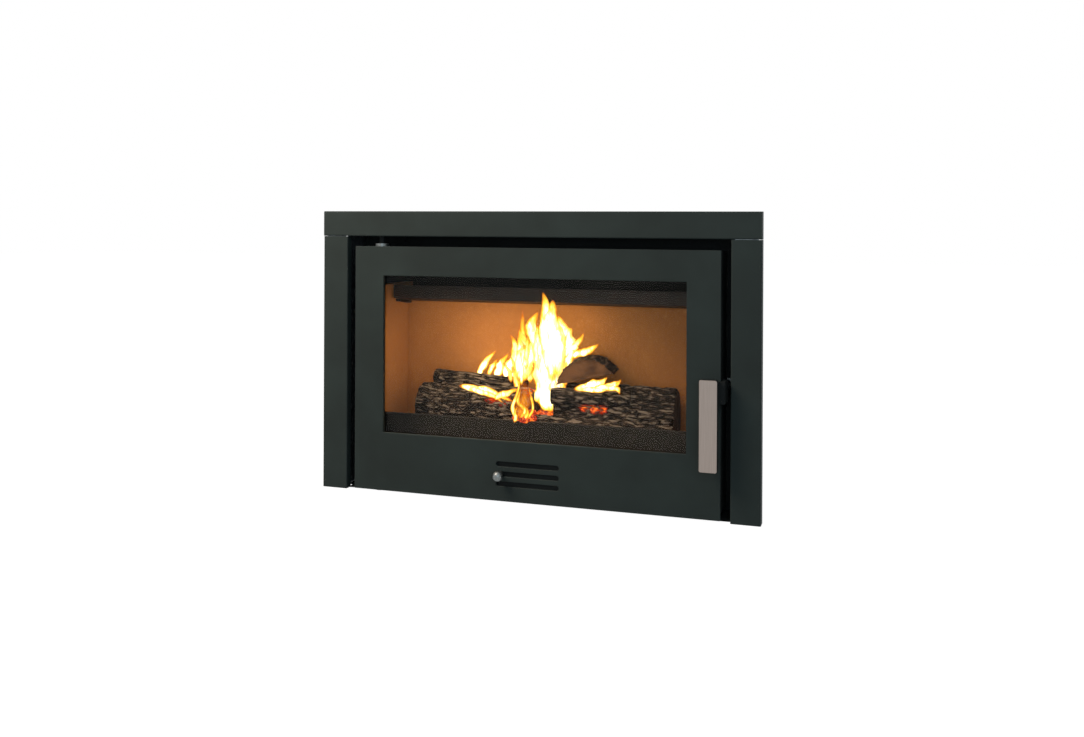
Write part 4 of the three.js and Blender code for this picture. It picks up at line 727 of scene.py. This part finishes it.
# Places where the fire has bitten into the wood: middle, reach and strength.
HOT_SPOTS = [
    (place(-22, 150, 175), 0.042, 1.0),
    (place(-112, 116, 168), 0.02, 0.6),
    (place(-88, 118, 162), 0.018, 0.6),
    (place(-38, 96, 136), 0.026, 1.2),
    (place(66, 130, 152), 0.012, 1.0),
    (place(84, 130, 151), 0.012, 1.0),
    (place(100, 130, 150), 0.011, 0.9),
    (place(116, 146, 188), 0.018, 0.7),
]


def heat_at(point):
    return max(
        strength * max(0, 1 - ((point - middle).length / reach) ** 2)
        for middle, reach, strength in HOT_SPOTS
    )


PLATE_WIDE, PLATE_LONG = 0.0075, 0.034
PLATE_STEEP = 2.2  # of the furrows' sides


def plate_height(seed, around, along):
    """From 0 in a furrow of the bark to 1 on a plate, at a place on a log."""
    drift = noise.noise_vector(Vector((around / 0.02, along / 0.03, seed))) * 0.8
    spot = Vector((around / PLATE_WIDE, along / PLATE_LONG, seed)) + drift
    near, far = noise.voronoi(spot)[0][:2]
    rough = 0.5 + 0.5 * noise.noise(Vector((around / 0.0025, along / 0.01, seed + 7)))
    return max(0, min(1, 0.85 * min(1, (far - near) * PLATE_STEEP) + 0.4 * rough - 0.22))


def close_end(faces, kinds, rings, outward):
    """Closes a log with rings that shrink over its sawn end."""
    rings = rings if outward > 0 else [ring[::-1] for ring in rings]
    ends = loft(rings) + [tuple(rings[-1])]
    faces += ends
    kinds += [1] * len(ends)


def wood_piece(name, points, faces, kinds, plates, piths, node):
    """A piece of firewood with bark where kinds is 0 and bare wood where it is 1."""
    piece = new_piece(name, points, faces, bark, "firebox", "bark", smooth=False)
    piece.data.materials.append(wood)
    piece.data.shade_smooth()
    piece.data.polygons.foreach_set("material_index", kinds)
    heats = [heat_at(p) for p in points]
    for layer, values in (("plate", plates), ("pith", piths), ("hotness", heats)):
        piece.data.attributes.new(layer, "FLOAT", "POINT").data.foreach_set("value", values)
    piece.data.set_sharp_from_angle(angle=math.radians(60))
    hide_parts(node)


ROUND_SIDES = 168
ROUND_STEP = 0.0018  # along the log
ROUND_EDGE = 0.005  # from a sawn end to where the bark curls in
ROUND_CURL = 0.06
ROUND_KNOBS = 0.09  # length of its swellings
ROUND_SEAM = 1.85  # half turns, from which the bark is led back to its pattern at no turn
CHARRED_END = 0.06  # how sound the wood of the sawn ends is, from 0 to 0.5
SAW_MARKS = 0.0008
END_RINGS = (0.97, 0.8, 0.6, 0.4, 0.2, 0.02)


def add_round(name, ends, wide, tall, furrow, seed):
    """A round of wood between two points: bark along it and a sawn face at each end."""
    start, end = ends
    axis = (end - start).normalized()
    length = (end - start).length
    across = Vector((-axis.y, axis.x, 0)).normalized()
    up = axis.cross(across)
    girth = (wide + tall) / 4
    steps = round(length / ROUND_STEP)
    points, plates, piths, rings = [], [], [], []
    for i in range(steps + 1):
        along = length * i / steps
        edge = max(0, 1 - min(along, length - along) / ROUND_EDGE)
        ring = []
        for j in range(ROUND_SIDES):
            turn = 2 * math.pi * j / ROUND_SIDES
            way = Vector((math.cos(turn), math.sin(turn), along / ROUND_KNOBS + seed))
            height = plate_height(seed, turn * girth, along)
            if turn > math.pi * ROUND_SEAM:
                back = plate_height(seed, (turn - 2 * math.pi) * girth, along)
                height += (back - height) * (turn / math.pi - ROUND_SEAM) / (2 - ROUND_SEAM)
            scale = (1 - ROUND_CURL * edge**2) * (0.97 + 0.05 * noise.noise(way))
            reach_a = wide / 2 * scale - furrow * (1 - height)
            reach_b = tall / 2 * scale - furrow * (1 - height)
            spot = across * (math.cos(turn) * reach_a) + up * (math.sin(turn) * reach_b)
            ring.append(len(points))
            points.append(start + axis * along + spot)
            plates.append(height)
            piths.append(spot.length)
        rings.append(ring)
    faces = loft(rings)
    kinds = [0] * len(faces)
    for rim, centre, outward in ((rings[0], start, -1), (rings[-1], end, 1)):
        inner = [rim]
        for share in END_RINGS:
            ring = []
            for j in rim:
                spot = (points[j] - centre) * share
                saw = noise.noise(spot * 90 + Vector((seed, 0, outward)))
                ring.append(len(points))
                points.append(centre + spot + axis * outward * SAW_MARKS * saw)
                plates.append(CHARRED_END)
                piths.append(spot.length)
            inner.append(ring)
        close_end(faces, kinds, inner, outward)
    wood_piece(f"wood_{name}", points, faces, kinds, plates, piths, name)


LOG_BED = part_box("hearth_slab")[1].z * 1000 + 0.6  # the logs lie on the hearth
left_ends = place(-267, 152, LOG_BED + 49), place(-37, 150, LOG_BED + 48)
right_ends = place(5, 168, LOG_BED + 54), place(231, 169, LOG_BED + 54)
front_ends = place(-27, 113, LOG_BED + 28), place(235, 112, LOG_BED + 24)
branch_ends = place(-252, 180, 187), place(-65, 184, 176)
middle_ends = place(5, 123, 172), place(151, 141, 168)
add_round("log_left", left_ends, 0.088, 0.098, 0.0045, 1.7)
add_round("log_right", right_ends, 0.084, 0.11, 0.0045, 4.1)
add_round("log_front", front_ends, 0.034, 0.054, 0.0034, 8.6)
add_round("log_branch", branch_ends, 0.034, 0.034, 0.002, 12.3)
add_round("log_middle", middle_ends, 0.03, 0.034, 0.002, 17.9)

# The split log: a segment of a round, its flat split side down. Its own axes are across, towards
# the room and up.
SPLIT_CHORD = 0.11
SPLIT_RISE = 0.039
SPLIT_LENGTH = 0.078
SPLIT_ARC = 90  # points over its bark
SPLIT_FLAT = 44  # points over its split side
SPLIT_STEPS = 36  # along it
SPLIT_TURN = 0.12
SPLIT_TILT = 0.21
SPLIT_FURROW = 0.0032
SPLIT_CORNER = 0.08  # radians over which the furrows fade at its edges
SPLIT_FIBRE = 0.0012
SPLIT_SOUND = 0.5  # its wood isn't charred
SPLIT_RINGS = (0.96, 0.8, 0.62, 0.45, 0.3, 0.15, 0.02)
split_radius = (SPLIT_CHORD**2 / 4 + SPLIT_RISE**2) / (2 * SPLIT_RISE)
split_half = math.asin(SPLIT_CHORD / 2 / split_radius)
split_pith = SPLIT_RISE - split_radius
split_middle = SPLIT_RISE * 0.4
split_place = (
    Matrix.Translation(place(58, 205, 203))
    @ Matrix.Rotation(SPLIT_TURN, 4, "Z")
    @ Matrix.Rotation(-SPLIT_TILT, 4, "Y")
)
points, plates, piths, rings = [], [], [], []
for i in range(SPLIT_STEPS + 1):
    depth = SPLIT_LENGTH * i / SPLIT_STEPS
    ring = []
    for j in range(SPLIT_ARC):
        turn = split_half - 2 * split_half * j / (SPLIT_ARC - 1)
        height = plate_height(23.5, turn * split_radius, depth)
        edge = min(1, (split_half - abs(turn)) / SPLIT_CORNER)
        radius = split_radius - SPLIT_FURROW * (1 - height) * edge
        spot = Vector((radius * math.sin(turn), -depth, split_pith + radius * math.cos(turn)))
        ring.append(len(points))
        points.append(split_place @ spot)
        plates.append(height)
        piths.append(radius)
    for j in range(1, SPLIT_FLAT):
        x = -SPLIT_CHORD / 2 + SPLIT_CHORD * j / SPLIT_FLAT
        edge = min(1, 8 * (1 - abs(2 * x / SPLIT_CHORD)))
        fibre = noise.noise(Vector((x / 0.004, depth / 0.05, 5))) * SPLIT_FIBRE
        spot = Vector((x, -depth, (SPLIT_FIBRE + fibre) * edge))
        ring.append(len(points))
        points.append(split_place @ spot)
        plates.append(SPLIT_SOUND)
        piths.append(math.hypot(x, split_pith))
    rings.append(ring)
faces = loft(rings)
sides = len(rings[0])
kinds = [0 if n % sides < SPLIT_ARC - 1 else 1 for n in range(len(faces))]
for rim, depth, outward in ((rings[0], 0, -1), (rings[-1], SPLIT_LENGTH, 1)):
    inner = [rim]
    for share in SPLIT_RINGS:
        ring = []
        for j in rim:
            own = split_place.inverted() @ points[j]
            x, z = own.x * share, split_middle + (own.z - split_middle) * share
            saw = noise.noise(Vector((x / 0.006, z / 0.02, outward))) * 0.0007
            ring.append(len(points))
            points.append(split_place @ Vector((x, -depth + (SAW_MARKS - saw) * outward, z)))
            plates.append(SPLIT_SOUND)
            piths.append(math.hypot(x, z - split_pith))
        inner.append(ring)
    close_end(faces, kinds, inner, outward)
wood_piece("wood_log_split", points, faces, kinds, plates, piths, "log_split")


# ---- Embers and ash
# Lumps of glowing charcoal lie between the logs, on a thin bed of pale wood ash.

# Charcoal: black and dull, glowing orange where it is hottest, in patches about 6 mm wide.
def glowing_charcoal():
    material, tree, coords = start_finish("glowing_charcoal")
    patch = mottle(tree, coords, 0.006, 4, 0.6)
    colour = ramp(tree, patch, (0.4, "#16110E"), (0.7, "#2B211B"))
    fires = (0.4, "#5C0D03"), (0.5, "#C2300A"), (0.6, "#F4701A"), (0.75, "#FFC050")
    glow = ramp(tree, patch, *fires)
    more = {"IOR": 1.45, "Emission Color": glow, "Emission Strength": 1.5}
    return end_surface(material, tree, colour, 0.85, more)


# Wood ash: a pale grey powder, soft and matt, with darker crumbs about 3 mm across.
def wood_ash():
    material, tree, coords = start_finish("wood_ash")
    crumbs = mottle(tree, coords, 0.003, 5, 0.7)
    colour = ramp(tree, crumbs, (0.35, "#3B3631"), (0.6, "#8A847B"))
    bump = bumped(tree, crumbs, 0.6, 0.0015)
    return end_surface(material, tree, colour, 0.95, {"Normal": bump, "IOR": 1.45})


charcoal = glowing_charcoal()
ash = wood_ash()


def add_ember(name, centre, size, seed):
    """A lump of charcoal: a ball, flattened and chipped."""
    rows, columns = 12, 18
    points = []
    for i in range(rows + 1):
        tilt = math.pi * min(max(i, 0.02), rows - 0.02) / rows
        for j in range(columns):
            turn = 2 * math.pi * j / columns
            out = math.sin(tilt)
            way = Vector((out * math.cos(turn), out * math.sin(turn), math.cos(tilt)))
            chip = noise.cell(way * 1.7 + Vector((seed, seed, seed)))
            lump = 0.8 + 0.2 * noise.noise(way * 1.5 + Vector((seed, 0, 0))) + 0.1 * chip
            points.append(centre + Vector((way.x * 1.25, way.y, way.z * 0.8)) * size * lump)
    faces = []
    for i in range(rows):
        for j in range(columns):
            k = (j + 1) % columns
            a, b = i * columns, (i + 1) * columns
            faces.append((a + j, b + j, b + k, a + k))
    faces.append(tuple(range(columns)))
    faces.append(tuple(range(len(points) - 1, len(points) - columns - 1, -1)))
    new_piece(name, points, faces, charcoal, "firebox", "bark")


# Place and size in millimetres: before the left log, on the thin round, and between the logs.
EMBERS = [(-50, 92, 132, 9), (-34, 89, 131, 11), (-22, 95, 133, 8)]
EMBERS += [(-42, 104, 138, 10), (-28, 108, 141, 9)]
EMBERS += [(62, 139, 150, 9), (84, 137, 148, 11), (104, 140, 149, 8)]
EMBERS += [(-12, 140, 132, 11), (-22, 158, 131, 12), (-8, 172, 132, 10), (-70, 200, 131, 10)]
for i, (x, y, z, size) in enumerate(EMBERS):
    add_ember(f"ember_{i + 1:02d}", place(x, y, z), size / 1000, 3.3 * i)

ASH_STEPS = 70  # along the bed, and half as many across
ASH_RIM = 0.0004
ash_low = place(-232, 86, LOG_BED - 0.4)
ash_high = place(226, 206, LOG_BED + 7)
points, faces = [], []
row = ASH_STEPS // 2 + 1
for i in range(ASH_STEPS + 1):
    for j in range(row):
        u, v = i / ASH_STEPS, j / (row - 1)
        x = ash_low.x + (ash_high.x - ash_low.x) * u
        y = ash_low.y + (ash_high.y - ash_low.y) * v
        edge = min(1, 6 * min(u, 1 - u)) * min(1, 4 * min(v, 1 - v))
        heap = 0.55 + 0.45 * noise.noise(Vector((x / 0.05, y / 0.03, 2)))
        grit = 0.1 * noise.noise(Vector((x / 0.006, y / 0.006, 4)))
        rise = (ash_high.z - ash_low.z) * max(0, heap + grit) * edge
        points.append((x, y, ash_low.z + ASH_RIM + rise))
top_count = len(points)
points += [(x, y, ash_low.z) for x, y, z in points]
for i in range(ASH_STEPS):
    for j in range(row - 1):
        a = i * row + j
        quad = (a, a + row, a + row + 1, a + 1)
        faces.append(quad)
        faces.append(tuple(top_count + n for n in quad[::-1]))
rim = list(range(row))
rim += [i * row + row - 1 for i in range(1, ASH_STEPS + 1)]
rim += [ASH_STEPS * row + j for j in range(row - 2, -1, -1)]
rim += [i * row for i in range(ASH_STEPS - 1, 0, -1)]
for a, b in zip(rim, rim[1:] + rim[:1]):
    faces.append((a, b, top_count + b, top_count + a))
new_piece("ash_bed", points, faces, ash, "firebox", "bark")


# ---- Flames
# Burning wood gas. Each tongue is a thin closed body that rises from the wood, wavers and ends in
# a point, white in its middle, yellow about that and orange at its fading edge.

# Flame: gives light and has no surface. How hot a point is, from the edge to the core, is kept on
# the mesh; streaks about 7 mm wide and 25 mm high break it up.
def burning_gas():
    material, tree, coords = start_finish("burning_gas")
    heat = kept(tree, "hotness")
    tall = drawn_out(tree, coords, 0.007, 0.007, 0.025)
    inputs = {"Vector": tall, "Scale": 1, "Detail": 4, "Roughness": 0.6, "Distortion": 0.6}
    streak = add_node(tree, "TexNoise", inputs)
    dim = remap(tree, streak.outputs["Fac"], (0.3, 0.7), (0.55, 1.15))
    level = maths(tree, "MULTIPLY", heat, dim)
    outer = (0.04, "#E4560C"), (0.2, "#FB8F1C"), (0.4, "#FFCB3C")
    colour = ramp(tree, level, *outer, (0.58, "#FFEFA0"), (0.8, "#FFFDF0"))
    strength = remap(tree, level, (0.1, 0.8), (1, 3.2))
    cover = remap(tree, level, (0.03, 0.5), (0, 1))
    gas = add_node(tree, "Emission", {"Color": colour, "Strength": strength})
    clear = add_node(tree, "BsdfTransparent")
    shader = add_node(tree, "MixShader", {0: cover, 1: clear.outputs[0], 2: gas.outputs[0]})
    end_finish(tree, shader)
    return material


flame_gas = burning_gas()
FLAME_STEPS = 46
FLAME_SIDES = 20
FLAME_SWELL = 2.99  # makes the widest place of a tongue as wide as asked
FLAME_FOOT = 0.22  # share of a tongue over which it fades in
FLAME_RIPPLE = 0.28  # shares of its width by which it swells, leans and licks
FLAME_WAVER = 0.35
FLAME_LICK = 0.12
FLAME_DEEP = 0.2  # half its thickness, as a share of its width


def add_flame(name, y, spine, width, core, seed):
    """A tongue about a spine of (x, z) points in millimetres, from its foot to its tip."""
    line = [place(x, y, z) for x, z in spine]
    points, heats, rings = [], [], []
    yaw = 0.5 * noise.noise(Vector((seed, 1, 2)))
    across = Vector((math.cos(yaw), math.sin(yaw), 0))
    for i in range(FLAME_STEPS + 1):
        t = min(max(i / FLAME_STEPS, 0.002), 0.998)
        part = min(int(t * (len(line) - 1)), len(line) - 2)
        u = t * (len(line) - 1) - part
        before = line[max(part - 1, 0)]
        after = line[min(part + 2, len(line) - 1)]
        slope_a = (line[part + 1] - before) / 2
        slope_b = (after - line[part]) / 2
        middle = (
            line[part] * (2 * u**3 - 3 * u**2 + 1)
            + slope_a * (u**3 - 2 * u**2 + u)
            + line[part + 1] * (3 * u**2 - 2 * u**3)
            + slope_b * (u**3 - u**2)
        )
        tangent = (line[part + 1] - line[part]).normalized()
        side = (across - tangent * across.dot(tangent)).normalized()
        if abs(tangent.z) < 0.7:
            side = Vector((-tangent.z, 0, tangent.x)).normalized()
        deep = tangent.cross(side)
        ripple = 1 + FLAME_RIPPLE * noise.noise(Vector((t * 5, seed, 0)))
        spread = width / 1000 * FLAME_SWELL * t**0.7 * (1 - t) ** 0.9 * ripple
        waver = noise.noise(Vector((t * 3.5, seed, 9))) * width / 1000 * FLAME_WAVER * t
        ring = []
        for j in range(FLAME_SIDES):
            turn = 2 * math.pi * j / FLAME_SIDES
            edge = math.cos(turn)
            lick = noise.noise(Vector((t * 9, edge * 2, seed + 5))) * spread * FLAME_LICK
            ring.append(len(points))
            spot = middle + side * (edge * spread / 2 + waver + lick)
            points.append(spot + deep * (math.sin(turn) * spread * FLAME_DEEP))
            fade = (1 - edge**2) ** 0.7 * min(1, t / FLAME_FOOT) * (1 - t**3) ** 0.7
            heats.append(core * fade)
        rings.append(ring)
    faces = loft(rings)
    faces.append(tuple(rings[0][::-1]))
    faces.append(tuple(rings[-1]))
    piece = new_piece(name, points, faces, flame_gas, "firebox", "bark", smooth=False)
    piece.data.shade_smooth()
    piece.data.attributes.new("hotness", "FLOAT", "POINT").data.foreach_set("value", heats)


FLAMES = [  # depth, spine, width in millimetres, heat of the core
    (158, [(-8, 140), (-10, 190), (-2, 245), (6, 302)], 76, 1.1),
    (150, [(-4, 134), (-12, 168), (-8, 200), (-12, 240)], 50, 1.1),
    (146, [(16, 148), (12, 176), (8, 202), (4, 240)], 34, 1.0),
    (138, [(2, 190), (-2, 254), (-12, 312), (-13, 362)], 34, 1.05),
    (136, [(14, 196), (10, 262), (0, 308), (2, 348)], 38, 1.1),
    (156, [(-30, 196), (-30, 246), (-43, 288), (-38, 325)], 32, 0.95),
    (154, [(22, 208), (28, 256), (15, 290), (10, 318)], 34, 1.05),
    (150, [(8, 226), (28, 252), (46, 264), (60, 287)], 18, 0.85),
    (152, [(6, 234), (38, 245), (66, 254), (88, 268)], 16, 0.85),
    (203, [(-170, 186), (-165, 203), (-152, 220), (-133, 240)], 15, 0.85),
    (205, [(-154, 185), (-146, 202), (-139, 212), (-132, 224)], 12, 0.7),
    (202, [(-136, 181), (-128, 203), (-122, 216), (-111, 237)], 20, 0.85),
    (205, [(-117, 180), (-111, 203), (-103, 220), (-96, 243)], 24, 0.9),
    (204, [(-95, 180), (-91, 213), (-95, 241), (-99, 274)], 25, 0.85),
    (202, [(-77, 179), (-75, 222), (-82, 254), (-88, 286)], 28, 0.9),
    (203, [(-72, 189), (-74, 230), (-78, 275), (-80, 323)], 17, 0.65),
    (205, [(-104, 179), (-91, 196), (-74, 213), (-65, 238)], 34, 0.95),
    (164, [(-70, 186), (-62, 222), (-46, 254), (-42, 290)], 46, 0.95),
    (114, [(-176, 182), (-146, 179), (-116, 176), (-62, 160)], 15, 0.95),
    (112, [(-156, 179), (-138, 176), (-112, 168), (-84, 156)], 12, 0.85),
    (112, [(-104, 160), (-92, 168), (-74, 174), (-54, 184)], 14, 0.85),
    (90, [(-40, 124), (-42, 148), (-37, 174), (-37, 204)], 34, 0.28),
    (87, [(-50, 124), (-58, 152), (-51, 174), (-40, 216)], 7, 0.65),
    (87, [(-34, 126), (-19, 150), (-22, 174), (-28, 193)], 6, 0.5),
    (86, [(-46, 128), (-34, 148), (-46, 164), (-41, 192)], 9, 0.6),
    (84, [(-54, 124), (-50, 134), (-52, 142), (-48, 156)], 9, 0.6),
    (84, [(-34, 124), (-31, 136), (-27, 144), (-30, 158)], 9, 0.55),
    (120, [(48, 186), (76, 193), (98, 201), (112, 212)], 17, 1.0),
    (118, [(54, 186), (92, 190), (118, 195), (140, 206)], 15, 0.95),
    (116, [(84, 190), (110, 194), (130, 190), (138, 183)], 12, 0.9),
    (117, [(120, 190), (126, 196), (130, 200), (140, 210)], 9, 0.8),
]
for i, (y, spine, width, core) in enumerate(FLAMES):
    add_flame(f"flame_{i + 1:02d}", y, spine, width, core, 2.7 * i + 1)

WISPS = 22  # small tongues over the foot of the fire
wisp_chance = random.Random(11)
for i in range(WISPS):
    x = wisp_chance.uniform(-88, 34)
    top = 205 + 92 * (1 - abs(x + 14) / 80) + wisp_chance.uniform(-10, 30)
    foot = top - wisp_chance.uniform(38, 70)
    lean = wisp_chance.uniform(-12, 12) + (x + 14) * 0.12
    spine = [(x, foot), (x + lean * 0.2, foot + (top - foot) * 0.5), (x + lean, top)]
    width, core = wisp_chance.uniform(8, 15), wisp_chance.uniform(0.55, 0.95)
    add_flame(f"wisp_{i + 1:02d}", wisp_chance.uniform(144, 172), spine, width, core, 5.1 * i + 90)


# ---- Floor, backdrop and lamps
# A white floor and a white surround, lit by a large soft lamp from the upper left, a weaker and
# cooler one beside the camera, and a small warm one in the firebox.

def add_background_ray(tree):
    """1 for the rays that show the background: from the camera, mirrored or through glass."""
    ray = add_node(tree, "LightPath").outputs
    direct = maths(tree, "MAXIMUM", ray["Is Camera Ray"], ray["Is Glossy Ray"])
    return maths(tree, "MAXIMUM", direct, ray["Is Transmission Ray"])


world = bpy.data.worlds.new("studio")
bpy.context.scene.world = world
world.use_nodes = True
tree = world.node_tree
tree.nodes.clear()
level = remap(tree, add_background_ray(tree), (0, 1), (0.24, 1))
sky = add_node(tree, "Background", {"Color": (1, 1, 1, 1), "Strength": level})
add_node(tree, "OutputWorld", {"Surface": sky.outputs[0]})

# Floor: white to the camera, in glass and in metal, and a plain grey that takes the shadow.
floor_paint, tree, _ = start_finish("floor_paint")
matt = add_node(tree, "BsdfDiffuse", {"Color": linear("#6C6C6C")})
white = remap(tree, add_background_ray(tree), (0, 1), (0, 0.97))
glow = add_node(tree, "Emission", {"Color": (1, 1, 1, 1), "Strength": white})
shader = add_node(tree, "AddShader", {0: matt.outputs[0], 1: glow.outputs[0]})
end_finish(tree, shader)
FLOOR = 12  # from the middle to each side
FLOOR_DROP = 0.0006  # under the feet of the casing
corners = [(x * FLOOR, y * FLOOR, 0) for x, y in ((-1, -1), (1, -1), (1, 1), (-1, 1))]
floor_mesh = bpy.data.meshes.new("floor")
floor_mesh.from_pydata(corners, [], [(0, 1, 2, 3)])
floor_mesh.materials.append(floor_paint)
floor = bpy.data.objects.new("floor", floor_mesh)
floor.location.z = -FLOOR_DROP
bpy.context.scene.collection.objects.link(floor)


def add_lamp(name, spot, aim, wide, tall, watts, colour):
    data = bpy.data.lights.new(name, "AREA")
    data.shape = "RECTANGLE"
    data.size = wide
    data.size_y = tall
    data.energy = watts
    data.color = linear(colour)[:3]
    lamp = bpy.data.objects.new(name, data)
    lamp.location = spot
    lamp.rotation_euler = (Vector(aim) - Vector(spot)).to_track_quat("-Z", "Y").to_euler()
    bpy.context.scene.collection.objects.link(lamp)


add_lamp("lamp_upper_left", (-0.8, -0.85, 1.3), (-0.25, -0.1, 0.35), 0.8, 0.8, 26, "#FFE6D4")
add_lamp("lamp_front", (0.9, -2.5, 1), (0, 0, 0.25), 1.6, 1.6, 13.5, "#D0ECFF")
# The fire's own light, spread over the liners and the tops of the logs.
add_lamp("lamp_fire", place(-100, 98, 300), place(-120, 215, 185), 0.3, 0.04, 0.42, "#FFE2BC")
